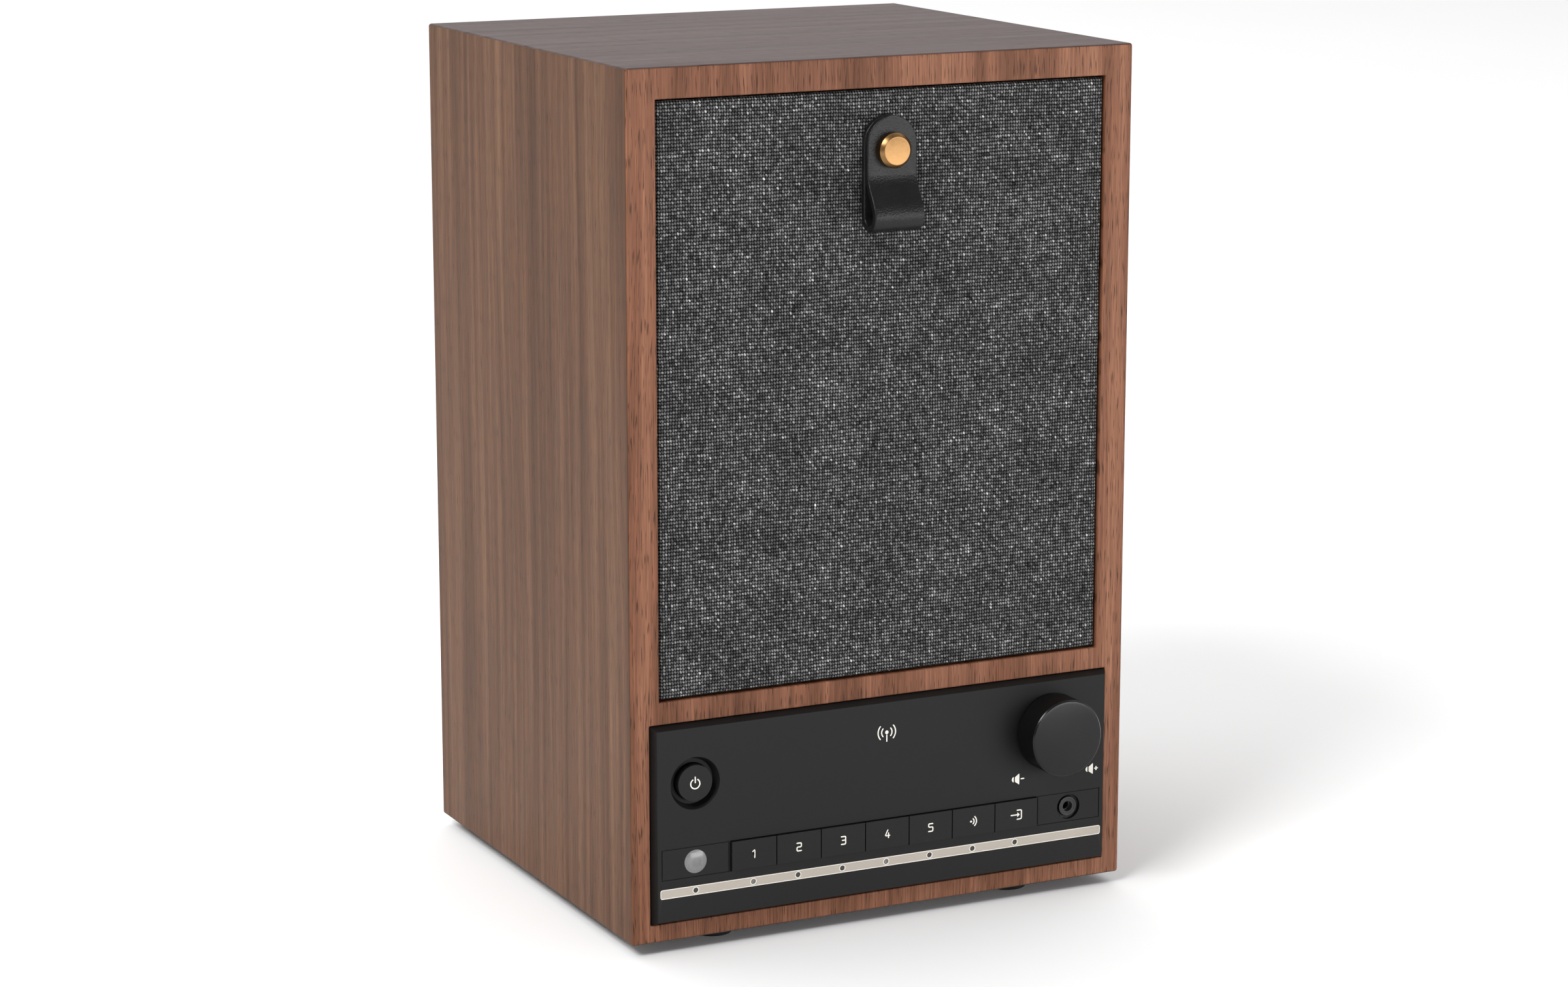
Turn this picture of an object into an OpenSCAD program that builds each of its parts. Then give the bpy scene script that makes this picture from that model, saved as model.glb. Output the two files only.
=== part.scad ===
// Tabletop radio: a wooden cabinet with a removable fabric grille, a two-way
// speaker, a moulded control panel and a telescopic antenna.
// +Z is up and -Y is the front. The origin is on the table under the middle.

/* [Cabinet] */
// Outside width of the cabinet
cabinet_w = 180; // [160:1:240]
// Outside depth of the cabinet, front board to rear edge
cabinet_d = 165; // [150:1:220]
// Outside height of the cabinet without its feet
cabinet_h = 280; // [272:1:360]
// Thickness of the front board
front_t = 12; // [11:0.5:16]
// Thickness of the sides, top and bottom
wall_t = 9; // [7:0.5:10]
// Thickness of the baffle and of the rear panel
inner_board_t = 9; // [8:0.5:14]
// Thickness of the shelf over the electronics
shelf_t = 6; // [4:0.5:7]
// How far the rear panel sits inside the rear edge
rear_inset = 3; // [3:0.5:12]
// Radius of a foot
foot_r = 7.5; // [6:0.5:12]
// Height of a foot
foot_h = 4; // [3.5:0.5:12]
// Foot centre from the cabinet's side
foot_from_side = 35; // [15:0.5:40]
// Foot centre from the cabinet's front and rear
foot_from_front = 15; // [14:0.5:40]

/* [Front openings] */
// Wood beside and above the grille
grille_margin = 10; // [9.5:0.5:20]
// Height of the rail between grille and control panel
rail_h = 7.3; // [6.5:0.1:9]
// Height of the opening for the control panel
panel_h = 66; // [60:0.5:72]
// Wood beside the control panel
panel_side_margin = 6.5; // [5:0.5:12]
// Wood below the control panel
panel_bottom_margin = 6; // [5:0.5:9]

/* [Grille] */
// Gap between the grille and its opening
grille_gap = 0.65; // [0.4:0.05:1.5]
// How far the fabric face sits behind the wood
grille_recess = 0.5; // [0:0.1:1.5]
// Thickness of the fabric
fabric_t = 0.7; // [0.5:0.1:1.2]
// Thickness of the grille frame
frame_t = 5; // [3:0.5:5.5]
// Width of the frame's side bars
frame_bar = 11; // [9:0.5:14]
// Height of the frame's top bar, which carries the pull tab
frame_top_bar = 28; // [22:0.5:36]
// Radius of a grille peg
peg_r = 3; // [2:0.1:3.5]

/* [Pull tab] */
// Width of the leather
tab_w = 17.6; // [14:0.2:24]
// Length from the fold to the round end
tab_len = 37; // [34:0.5:50]
// Thickness of the leather
tab_t = 2.2; // [1.8:0.1:2.4]
// Diameter of the fold, outside
tab_fold_d = 10; // [9:0.5:14]
// Top of the tab below the top of the cabinet
tab_from_top = 18; // [15:0.5:24]
// Radius of the brass stud
stud_r = 5.66; // [4:0.1:7]
// Thickness of the stud's head
stud_head = 3.4; // [2:0.1:5]
// Stud centre below the top of the tab
stud_from_tab_top = 11.3; // [9:0.1:15]

/* [Control panel] */
// How far the face stands proud of the wood
face_proud = 2.4; // [1.5:0.1:4]
// Sideways run of the face's bevel
face_bevel = 1.2; // [0.6:0.1:2]
// Gap between panel and wood
panel_gap = 0.3; // [0.2:0.05:0.6]
// Plastic behind the wood's front plane
plate_back = 0.6; // [0.6:0.1:1]
// Wall of the panel's skirt
skirt_t = 2; // [1.5:0.1:2.4]

/* [Keys] */
// Distance between key centres
key_pitch = 16.1; // [13:0.1:16.5]
// Gap between neighbouring keys
key_gap = 0.35; // [0.25:0.05:0.8]
// Height of a key
key_h = 9.7; // [8:0.1:11]
// How far a key stands proud of the face
key_proud = 0.8; // [0.4:0.1:1.6]
// Travel of a key
key_travel = 0.6; // [0.4:0.1:0.6]
// Key row centre above the panel opening's lower edge
key_row_up = 20.3; // [19:0.1:22]
// Gap between the keys and their slot
slot_gap = 0.3; // [0.2:0.05:0.5]

/* [Indicator strip] */
// Height of the strip
strip_h = 3.1; // [2.6:0.1:4]
// Depth of the strip's recess
strip_t = 0.8; // [0.5:0.1:1.2]
// Strip centre above the panel opening's lower edge
strip_up = 10.7; // [10:0.1:12]
// Radius of a light hole
light_r = 0.9; // [0.7:0.05:1.2]

/* [Power button] */
// Radius of the button
power_r = 5.95; // [4.5:0.05:7]
// Radius of the dish round it, at the face
dish_r = 8.66; // [8.4:0.02:11]
// Travel of the button
power_travel = 0.8; // [0.5:0.1:0.8]
// Gap round the button
power_gap = 0.3; // [0.2:0.05:0.6]
// Button centre below the panel opening's upper edge
power_down = 19.8; // [17:0.1:22]

/* [Volume knob] */
// Radius of the knob
knob_r = 13; // [11:0.5:16]
// Height of the knob's front above the panel's face
knob_len = 12; // [10:0.5:18]
// Gap between the knob and the panel's face
knob_gap = 0.6; // [0.4:0.1:1.5]
// Knob axis from the panel opening's right edge
knob_from_edge = 22; // [18:0.5:26]
// Knob axis below the panel opening's upper edge
knob_down = 18.5; // [18:0.1:22]
// Radius of the encoder's shaft
shaft_r = 3; // [2.5:0.1:3.1]

/* [Lens and sockets] */
// Radius of the infrared lens
lens_r = 3.9; // [3:0.1:4.4]
// Height of the lens's dome
lens_dome = 0.8; // [0.4:0.1:1.5]
// Radius of the recess round the front socket
socket_recess_r = 4.33; // [3.8:0.01:4.6]
// Bore radius of a 3.5 mm socket
socket_r = 1.8; // [1.77:0.01:2]
// Depth of a 3.5 mm socket
socket_len = 14.5; // [14:0.5:16]

/* [Woofer] */
// Radius of the woofer's flange
woofer_r = 52; // [48:0.5:56]
// Flange edge above the grille opening's lower edge
woofer_up = 10; // [6:0.5:14]
// Depth of the basket behind its flange
basket_depth = 32; // [30:0.5:45]
// Radius of the magnet
magnet_r = 32; // [24:0.5:40]
// Length of the magnet
magnet_len = 16; // [15:0.5:24]
// Radius of the voice coil's former
coil_r = 12.65; // [12.5:0.05:12.8]
// Travel of the cone each way
cone_travel = 3; // [1:0.5:3]

/* [Tweeter] */
// Radius of the tweeter's plate
tweeter_r = 24; // [22:0.5:25]
// Radius of the tweeter's magnet
tweeter_magnet_r = 17; // [16:0.5:18]
// Gap between the two drivers
driver_gap = 2; // [1.5:0.5:6]

/* [Bass port] */
// Inner radius of the port
port_r = 13; // [10:0.5:16]
// Wall of the port
port_wall = 2; // [1.5:0.5:3]
// Length of the port
port_len = 70; // [40:1:80]
// Port axis above the shelf
port_up = 116; // [100:1:125]

/* [Rear connections] */
// Width of the terminal plate
terminal_w = 110; // [100:1:120]
// Height of the terminal plate
terminal_h = 40; // [38:1:44]
// Thickness of the terminal plate
terminal_t = 1.5; // [1:0.1:1.5]
// Inlet's centre from the middle
inlet_x = 26; // [16:1:34]
// Rear socket's centre from the middle
aux_x = -24; // [-36:1:-12]

/* [Antenna] */
// Antenna pivot from the middle
antenna_x = 58; // [40:1:60]
// Antenna pivot below the top of the cabinet
antenna_down = 32; // [20:1:60]
// Radius of the outer tube
antenna_r = 3.5; // [3.4:0.1:4]
// How far each section pulls out
antenna_travel = 105; // [60:1:115]
// Length of a section that stays inside when it is pulled out
antenna_hold = 15; // [10:1:20]
// How far a section reaches past the one round it
antenna_step = 2; // [1.5:0.5:4]

/* [Hidden] */
$fn = 64;
fit = 0.05;              // running clearance of a shaft or tube, radial
loose = 0.2;             // clearance of a guided or hinged piece
screw_r = 1.5;           // shank of the wood screws
small_screw_r = 1.2;     // shank of the board's screws
head_r = 2.6;            // head of every screw
head_h = 1.5;
pilot = 0.05;            // a pilot hole over its screw, radial
through = 0.2;           // a clearance hole over its screw, radial
cut = 1;                 // how far a cut runs past a face

w2 = cabinet_w / 2;
inner_x = w2 - wall_t;
inner_top = cabinet_h - wall_t;
rear_out = cabinet_d - rear_inset;
rear_in = rear_out - inner_board_t;
rear_gap = 0.4;

panel_x = w2 - panel_side_margin;
panel_z0 = panel_bottom_margin;
panel_z1 = panel_z0 + panel_h;
grille_x = w2 - grille_margin;
grille_z0 = panel_z1 + rail_h;
grille_z1 = cabinet_h - grille_margin;
shelf_z0 = panel_z1 + 1;
shelf_z1 = shelf_z0 + shelf_t;

key_count = 7;
body_x = panel_x - panel_gap;
body_z0 = panel_z0 + panel_gap;
body_z1 = panel_z1 - panel_gap;
face_x = body_x - face_bevel;
face_y = -face_proud;
key_z = panel_z0 + key_row_up;
strip_z = panel_z0 + strip_up;
power_z = panel_z1 - power_down;
knob_z = panel_z1 - knob_down;
knob_x = panel_x - knob_from_edge;
slot_x = key_count * key_pitch / 2 - key_gap / 2 + slot_gap;
slot_z0 = key_z - key_h / 2 - slot_gap;
slot_z1 = key_z + key_h / 2 + slot_gap;
plate_edge = face_x - 1.3;                // outer edge of the engraved frames
plate_in = slot_x + slot_gap;             // inner edge of the engraved frames
side_x = (plate_edge + plate_in) / 2;     // lens, power button and socket stand here
key_x = [for (i = [0:key_count - 1]) (i - (key_count - 1) / 2) * key_pitch];
light_x = concat([-side_x], key_x);

board_y = 8.8;           // front of the control board
board_t = 1.6;
switch_top = 4.6;        // a pressed switch's plunger
switch_body = 5.3;
board_bosses = [for (x = [-35, 35], z = [panel_z0 + 6, panel_z1 - 9]) [x, z]];
corner_bosses = [for (x = [-1, 1], z = [panel_z0 + 6, panel_z1 - 6]) [x * (panel_x - 6.5), z]];
corner_boss_r = 3.2;
block_x = panel_x - 10;  // inner face of the blocks that the panel screws to
block_d = 12;            // section of the glued blocks

baffle_y = front_t;
flange_t = 2.5;
woofer_z = grille_z0 + woofer_up + woofer_r;
tweeter_z = woofer_z + woofer_r + driver_gap + tweeter_r;
woofer_screw_r = woofer_r - 3;
tweeter_screw_r = tweeter_r - 3.2;
basket_back = baffle_y + basket_depth + 2;
cone_rim_r = woofer_r - 16.1;
roll_r = 3.4;            // outer radius of the surround's half roll
roll_t = 0.6;
roll_at = cone_rim_r + 0.3 + 0.7 + roll_r;
neck_y = baffle_y + 18;
basket_hole_r = woofer_r - 5.5;
port_z = shelf_z1 + port_up;
port_flange_r = port_r + 9;

fabric_y = grille_recess;
frame_y = fabric_y + fabric_t;
frame_back = frame_y + frame_t;
fabric_x = grille_x - grille_gap;
fabric_z0 = grille_z0 + grille_gap;
fabric_z1 = grille_z1 - grille_gap;
peg_at = [for (x = [-1, 1], z = [fabric_z0 + 6.5, fabric_z1 - 7.5]) [x * (fabric_x - 7), z]];
peg_end = baffle_y + 6;
cup_wall = 1.6;

tab_top = cabinet_h - tab_from_top;
tab_bottom = tab_top - tab_len;
stud_z = tab_top - stud_from_tab_top;
tab_gap = 0.1;
tab_face = fabric_y - tab_gap - 2 * tab_t;
fold_r = tab_fold_d / 2;
stud_post_r = 1.9;

terminal_z = (wall_t + shelf_z0) / 2;
terminal_y = rear_out + terminal_t;
inlet_half_w = 4.1;      // half the distance between the inlet's two round ends
inlet_end_r = 4;
inlet_depth = 13.5;

pcb_z = wall_t + 6;
main_board_x = [-(inner_x - 7), 10];
power_board_x = [18, inner_x - 7];
main_board_y = [40, rear_in - 18];
power_board_y = [55, rear_in - 18];

pivot_y = cabinet_d + 11.5;
pivot_z = cabinet_h - antenna_down;
ear_r = 4.5;
tongue_x = 2.4;
ear_t = 2;
pin_r = 1.5;
swivel_r = 3;
yoke_y = cabinet_d + 6;
base_y = rear_out + flange_t;
tube_wall = 0.45;
tube_cap = 1;            // the closed upper end of a tube
tube_top = 12;           // the outer tube's upper end below the pivot
tube_room = 4;           // from there to the section inside
tube_r = [for (i = [0:3]) antenna_r - i * (tube_wall + fit)];
tube_end = [for (i = [0:3]) tube_top + tube_room + antenna_travel + antenna_hold + i * antenna_step];
tube_start = [for (i = [0:3]) i == 0 ? tube_top : tube_end[i - 1] - antenna_travel - antenna_hold];

front_out = face_proud + knob_len;         // the knob's front, ahead of the wood
rear_far = pivot_y + ear_r - cabinet_d;    // the antenna's yoke, behind the wood
front_y = (front_out - rear_far - cabinet_d) / 2;

wood = [0.47, 0.31, 0.24];
mdf = [0.25, 0.22, 0.2];
black = [0.13, 0.13, 0.135];
dark = [0.2, 0.2, 0.2];
beige = [0.83, 0.79, 0.73];
fabric_grey = [0.33, 0.33, 0.34];
brass = [0.83, 0.66, 0.4];
steel = [0.66, 0.67, 0.69];
circuit = [0.08, 0.3, 0.16];

// From here on x is from the middle, y is the depth behind the wood's front
// plane and z is the height above the cabinet's underside.
module in_cabinet() translate([0, front_y, foot_h]) children();

module block(x, y, z) {
  translate([x[0], y[0], z[0]]) cube([x[1] - x[0], y[1] - y[0], z[1] - z[0]]);
}

// A round bar along Y, centred on [x, z].
module bar_y(at, r, y0, y1, r1 = -1) {
  translate([at[0], y0, at[1]]) rotate([-90, 0, 0])
    cylinder(r1 = r, r2 = r1 < 0 ? r : r1, h = y1 - y0);
}

module bar_x(y, z, r, x0, x1) {
  translate([x0, y, z]) rotate([0, 90, 0]) cylinder(r = r, h = x1 - x0);
}

module bar_z(x, y, r, z0, z1) translate([x, y, z0]) cylinder(r = r, h = z1 - z0);

// A profile of [radius, depth] points turned about a Y axis at [x, z].
module turned_y(at) translate([at[0], 0, at[1]]) rotate([-90, 0, 0]) rotate_extrude() children();

// A profile of [x, z] points, run from y0 to y1.
module along_y(y0, y1) translate([0, y1, 0]) rotate([90, 0, 0]) linear_extrude(y1 - y0) children();

// A profile of [y, z] points, run from x0 to x1.
module along_x(x0, x1) translate([x0, 0, 0]) rotate([90, 0, 90]) linear_extrude(x1 - x0) children();

// Repeats children round a Y axis at [x, z].
module ring_y(at, r, count, first = 45) {
  for (i = [0:count - 1]) {
    a = first + i * 360 / count;
    translate([at[0] + r * cos(a), 0, at[1] + r * sin(a)]) children();
  }
}

// ---- cabinet ----

module side_board(s) color(wood) in_cabinet() along_y(front_t, cabinet_d)
  polygon([[s * w2, 0], [s * w2, cabinet_h], [s * inner_x, inner_top], [s * inner_x, wall_t]]);

module left_side() side_board(-1);

module right_side() side_board(1);

module top_board() color(wood) in_cabinet() along_y(front_t, cabinet_d)
  polygon([[-w2, cabinet_h], [w2, cabinet_h], [inner_x, inner_top], [-inner_x, inner_top]]);

foot_at = [for (x = [-1, 1], y = [foot_from_front, cabinet_d - foot_from_front])
  [x * (w2 - foot_from_side), y]];
foot_screw_top = 7;
foot_seat = 1.8;         // the screw head's seat below the cabinet

module bottom_board() color(wood) in_cabinet() difference() {
  along_y(front_t, cabinet_d)
    polygon([[-w2, 0], [w2, 0], [inner_x, wall_t], [-inner_x, wall_t]]);
  for (p = foot_at) bar_z(p[0], p[1], screw_r + pilot, -cut, foot_screw_top + loose);
}

module front_board() color(wood) in_cabinet() difference() {
  block([-w2, w2], [0, front_t], [0, cabinet_h]);
  block([-grille_x, grille_x], [-cut, front_t + cut], [grille_z0, grille_z1]);
  block([-panel_x, panel_x], [-cut, front_t + cut], [panel_z0, panel_z1]);
}

module baffle() color(mdf) in_cabinet() difference() {
  block([-inner_x, inner_x], [baffle_y, baffle_y + inner_board_t], [shelf_z1, inner_top]);
  driver_seat([0, woofer_z], woofer_r, basket_hole_r, woofer_screw_r);
  driver_seat([0, tweeter_z], tweeter_r, tweeter_magnet_r + 0.3, tweeter_screw_r);
  for (p = peg_at) bar_y(p, peg_r + loose + cup_wall, baffle_y - cut, baffle_y + 8.5);
}

// A flush seat, its through hole and its screw holes.
module driver_seat(at, r, hole_r, on_r) {
  bar_y(at, r + 0.3, baffle_y - cut, baffle_y + flange_t);
  bar_y(at, hole_r, baffle_y - cut, baffle_y + inner_board_t + cut);
  ring_y(at, on_r, 4) bar_y([0, 0], screw_r + pilot, baffle_y, baffle_y + 8.2);
}

module shelf() color(mdf) in_cabinet() difference() {
  block([-inner_x, inner_x], [front_t, rear_in], [shelf_z0, shelf_z1]);
  bar_z(-inner_x / 2, 95, 6, shelf_z0 - cut, shelf_z1 + cut);
}

rear_screw_z = [wall_t + 8, shelf_z0 - 8, shelf_z1 + 12,
  (shelf_z1 + inner_top) / 2, inner_top - 12];
rear_screw_at = [for (x = [-1, 1], z = rear_screw_z) [x * (inner_x - 6), z]];
terminal_screw_at = [for (x = [-1, 1], z = [-1, 1])
  [x * (terminal_w / 2 - 5), terminal_z + z * (terminal_h / 2 - 5)]];
screw_into = 10;         // how deep a rear screw goes past its board

module rear_panel() color(mdf) in_cabinet() difference() {
  block([-inner_x + rear_gap, inner_x - rear_gap], [rear_in, rear_out],
    [wall_t + rear_gap, inner_top - rear_gap]);
  bar_y([0, port_z], port_r + port_wall + loose, rear_in - cut, rear_out + cut);
  block([-terminal_w / 2 + 10, terminal_w / 2 - 10], [rear_in - cut, rear_out + cut],
    [terminal_z - terminal_h / 2 + 6, terminal_z + terminal_h / 2 - 6]);
  for (p = rear_screw_at) bar_y(p, screw_r + through, rear_in - cut, rear_out + cut);
  for (p = terminal_screw_at) bar_y(p, screw_r + pilot, rear_out - 7, rear_out + cut);
  bar_y([antenna_x, pivot_z], swivel_r + loose, rear_in - cut, rear_out + cut);
}

// Strips that hold the rear panel, and uprights behind the control panel.
module glue_blocks() color([0.72, 0.58, 0.4]) in_cabinet() for (s = [-1, 1]) {
  difference() {
    for (z = [[wall_t, shelf_z0], [shelf_z1, inner_top]])
      block(s > 0 ? [inner_x - block_d, inner_x] : [-inner_x, -inner_x + block_d],
        [rear_in - block_d, rear_in], z);
    for (p = rear_screw_at) bar_y(p, screw_r + pilot, rear_in - screw_into - loose, rear_in + cut);
  }
  difference() {
    block(s > 0 ? [block_x, inner_x] : [-inner_x, -block_x],
      [front_t, front_t + block_d], [wall_t, shelf_z0]);
    for (p = corner_bosses) bar_y(p, screw_r + pilot, front_t - cut, front_t + block_d + cut);
  }
}

// A screw along Y: its head at the seat, its shank forward (-1) or back (+1).
module screw_y(at, seat, length, r, dir) {
  if (dir > 0) {
    bar_y(at, head_r, seat - head_h, seat);
    bar_y(at, r, seat - 0.1, seat + length);
  } else {
    bar_y(at, head_r, seat, seat + head_h);
    bar_y(at, r, seat - length, seat + 0.1);
  }
}

module panel_screws() color(dark) in_cabinet() {
  for (p = rear_screw_at) screw_y(p, rear_out, inner_board_t + screw_into, screw_r, -1);
  for (p = terminal_screw_at) screw_y(p, terminal_y, terminal_t + 6.8, screw_r, -1);
}

module feet() color(black) in_cabinet() for (p = foot_at) difference() {
  translate([p[0], p[1], -foot_h]) cylinder(r1 = foot_r - 0.8, r2 = foot_r, h = foot_h);
  bar_z(p[0], p[1], head_r + 0.8, -foot_h - cut, -foot_seat);
  bar_z(p[0], p[1], screw_r + through, -foot_h - cut, cut);
}

module foot_screws() color(steel) in_cabinet() for (p = foot_at) {
  bar_z(p[0], p[1], head_r, -foot_seat - head_h, -foot_seat);
  bar_z(p[0], p[1], screw_r, -foot_seat - 0.1, foot_screw_top);
}

module bass_port() color(black) in_cabinet() difference() {
  union() {
    bar_y([0, port_z], port_r + port_wall, rear_out - port_len, rear_out);
    bar_y([0, port_z], port_flange_r, rear_out, rear_out + 2);
  }
  bar_y([0, port_z], port_r, rear_out - port_len - cut, rear_out + 2 + cut);
  bar_y([0, port_z], port_r, rear_out - 1, rear_out + 2.01, port_r + 4);
}

// ---- grille ----

module grille_cups() color(black) in_cabinet() for (p = peg_at) difference() {
  bar_y(p, peg_r + loose + cup_wall, baffle_y, baffle_y + 8.5);
  bar_y(p, peg_r + loose, baffle_y - cut, baffle_y + 7.5);
}

module grille_frame() color(black) in_cabinet() {
  x = fabric_x - fabric_t;
  z0 = fabric_z0 + fabric_t;
  z1 = fabric_z1 - fabric_t;
  difference() {
    block([-x, x], [frame_y, frame_back], [z0, z1]);
    block([-x + frame_bar, x - frame_bar], [frame_y - cut, frame_back + cut],
      [z0 + frame_bar, z1 - frame_top_bar]);
    bar_y([0, stud_z], stud_post_r + fit, frame_y - cut, frame_back + cut);
  }
  for (p = peg_at) {
    bar_y(p, peg_r, frame_back - 0.1, peg_end);
    bar_y(p, peg_r, peg_end, peg_end + 1.2, peg_r - 1);
  }
}

module grille_fabric() color(fabric_grey) in_cabinet() difference() {
  block([-fabric_x, fabric_x], [fabric_y, frame_back], [fabric_z0, fabric_z1]);
  block([-fabric_x + fabric_t, fabric_x - fabric_t], [frame_y, frame_back + cut],
    [fabric_z0 + fabric_t, fabric_z1 - fabric_t]);
  bar_y([0, stud_z], stud_post_r + fit, fabric_y - cut, frame_back + cut);
}

// A strap folded into a loop: flat together under the stud, round at the fold.
module leather_tab() color(black) in_cabinet() difference() {
  intersection() {
    along_x(-tab_w / 2, tab_w / 2) difference() {
      union() {
        hull() {
          translate([fabric_y - tab_gap - fold_r, tab_bottom + fold_r]) circle(fold_r);
          translate([tab_face, stud_z - stud_r - 1.2]) square([2 * tab_t, 0.2]);
        }
        translate([tab_face, stud_z - stud_r - 1.1]) square([2 * tab_t, tab_w]);
      }
      hull() {
        translate([fabric_y - tab_gap - fold_r, tab_bottom + fold_r]) circle(fold_r - tab_t);
        translate([tab_face + tab_t, stud_z - stud_r - 1]) circle(0.05, $fn = 8);
      }
    }
    along_y(fabric_y - tab_fold_d - cut, fabric_y) {
      translate([0, tab_top - tab_w / 2]) circle(tab_w / 2);
      translate([-tab_w / 2, tab_bottom]) square([tab_w, tab_len - tab_w / 2]);
    }
  }
  bar_y([0, stud_z], stud_post_r + fit, tab_face - cut, fabric_y + cut);
}

module tab_stud() color(brass) in_cabinet() {
  at = [0, stud_z];
  bevel = stud_r - 4.5;
  bar_y(at, stud_r - bevel, tab_face - stud_head, tab_face - stud_head + bevel, stud_r);
  bar_y(at, stud_r, tab_face - stud_head + bevel, tab_face);
  bar_y(at, stud_post_r, tab_face - 0.1, frame_back + 1);
  bar_y(at, 3.5, frame_back, frame_back + 1);
}

// ---- drivers ----

module woofer_basket() color(dark) in_cabinet() difference() {
  turned_y([0, woofer_z]) polygon([
    [woofer_r - 8, baffle_y], [woofer_r, baffle_y], [woofer_r, baffle_y + flange_t],
    [woofer_r - 6.5, baffle_y + flange_t], [28, basket_back - 2], [28, basket_back],
    [15, basket_back], [15, basket_back - 2], [26.7, basket_back - 2],
    [woofer_r - 8, baffle_y + flange_t]]);
  ring_y([0, woofer_z], woofer_screw_r, 4)
    bar_y([0, 0], screw_r + through, baffle_y - cut, baffle_y + flange_t + cut);
  for (a = [0:90:270]) translate([0, 0, woofer_z]) rotate([0, a, 0])
    block([21, woofer_r], [baffle_y + 11, basket_back - 6], [-13, 13]);
}

module woofer_magnet() color([0.16, 0.16, 0.17]) in_cabinet() turned_y([0, woofer_z]) polygon([
  [coil_r + 1.05, basket_back], [magnet_r, basket_back],
  [magnet_r, basket_back + magnet_len], [0, basket_back + magnet_len], [0, basket_back],
  [coil_r - 0.65, basket_back], [coil_r - 0.65, basket_back + 12],
  [coil_r + 1.05, basket_back + 12]]);

// The rubber surround in front and the corrugated spider behind.
module woofer_suspension() color(dark) in_cabinet() {
  lip_y = baffle_y - roll_t;
  turned_y([0, woofer_z]) {
    intersection() {
      translate([roll_at, baffle_y]) difference() {
        circle(roll_r);
        circle(roll_r - roll_t);
      }
      translate([roll_at - roll_r, baffle_y - roll_r - cut]) square([2 * roll_r, roll_r + cut]);
    }
    translate([cone_rim_r + 0.3, lip_y]) square([1, roll_t]);
    translate([roll_at + roll_r - roll_t, lip_y]) square([2.6, roll_t]);
  }
  spider_y = neck_y + cone_travel + 3;
  share = (spider_y - baffle_y - flange_t) / (basket_depth - flange_t);
  wall_r = (woofer_r - 8) + share * (26.7 - (woofer_r - 8));
  waves = 6;
  inner = coil_r + 0.75;
  step = (wall_r - 0.4 - inner) / (2 * waves);
  crest = [for (i = [0:2 * waves]) [inner + i * step, spider_y + (i % 2) * 0.8]];
  back = [for (i = [2 * waves:-1:0]) crest[i] + [0, 0.5]];
  turned_y([0, woofer_z]) polygon(concat(crest, back));
}

module driver_screws() color(dark) in_cabinet() {
  ring_y([0, woofer_z], woofer_screw_r, 4) screw_y([0, 0], baffle_y, 8, screw_r, 1);
  ring_y([0, tweeter_z], tweeter_screw_r, 4) screw_y([0, 0], baffle_y, 8, screw_r, 1);
}

module woofer_cone() color([0.1, 0.1, 0.1]) in_cabinet() {
  rim_y = baffle_y + 0.2;
  cap_r = 15;
  cap_h = 5;
  cap_y = rim_y + (cone_rim_r - cap_r) * (neck_y + 0.2 - rim_y) / (cone_rim_r - coil_r - 0.3);
  sphere_r = (cap_r * cap_r + cap_h * cap_h) / (2 * cap_h);
  turned_y([0, woofer_z]) polygon([
    [cone_rim_r, rim_y], [cone_rim_r, rim_y + 1], [coil_r + 1, neck_y + 1],
    [coil_r + 0.3, neck_y + 1], [coil_r + 0.3, neck_y + 0.2]]);
  intersection() {
    translate([0, cap_y - cap_h + sphere_r, woofer_z]) difference() {
      sphere(sphere_r);
      sphere(sphere_r - 0.6);
    }
    bar_y([0, woofer_z], cap_r, cap_y - cap_h - cut, cap_y + 0.3);
  }
}

module voice_coil() color([0.72, 0.42, 0.22]) in_cabinet() difference() {
  bar_y([0, woofer_z], coil_r + 0.3, neck_y + 1, basket_back + 7);
  bar_y([0, woofer_z], coil_r - 0.3, neck_y, basket_back + 8);
}

module tweeter_body() color(black) in_cabinet() difference() {
  turned_y([0, tweeter_z]) polygon([
    [16, baffle_y], [tweeter_r, baffle_y], [tweeter_r, baffle_y + flange_t],
    [tweeter_magnet_r, baffle_y + flange_t], [tweeter_magnet_r, baffle_y + 22],
    [0, baffle_y + 22], [0, baffle_y + 6], [13, baffle_y + 6], [13, baffle_y + 3]]);
  ring_y([0, tweeter_z], tweeter_screw_r, 4)
    bar_y([0, 0], screw_r + through, baffle_y - cut, baffle_y + flange_t + cut);
}

module tweeter_dome() color([0.08, 0.08, 0.08]) in_cabinet() intersection() {
  dome_r = 12.6;
  dome_h = 4.6;
  dome_t = 0.5;
  sphere_r = (dome_r * dome_r + dome_h * dome_h) / (2 * dome_h);
  translate([0, baffle_y + 6 - dome_h + sphere_r, tweeter_z]) difference() {
    sphere(sphere_r);
    sphere(sphere_r - dome_t);
  }
  bar_y([0, tweeter_z], dome_r, baffle_y, baffle_y + 6);
}

// ---- control panel ----

module bevelled_face() intersection() {
  along_x(-body_x, body_x) polygon([
    [0, body_z0], [face_y, body_z0 + face_bevel], [face_y, body_z1 - face_bevel], [0, body_z1]]);
  translate([0, 0, body_z0]) linear_extrude(body_z1 - body_z0) polygon([
    [-body_x, 0], [-face_x, face_y], [face_x, face_y], [body_x, 0]]);
}

// A thin engraved rectangle on the face.
module engraved(x, z) {
  line = 0.3;
  deep = 0.3;
  difference() {
    block(x, [face_y - cut, face_y + deep], z);
    block([x[0] + line, x[1] - line], [face_y - 2 * cut, face_y + deep + cut],
      [z[0] + line, z[1] - line]);
  }
}

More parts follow.
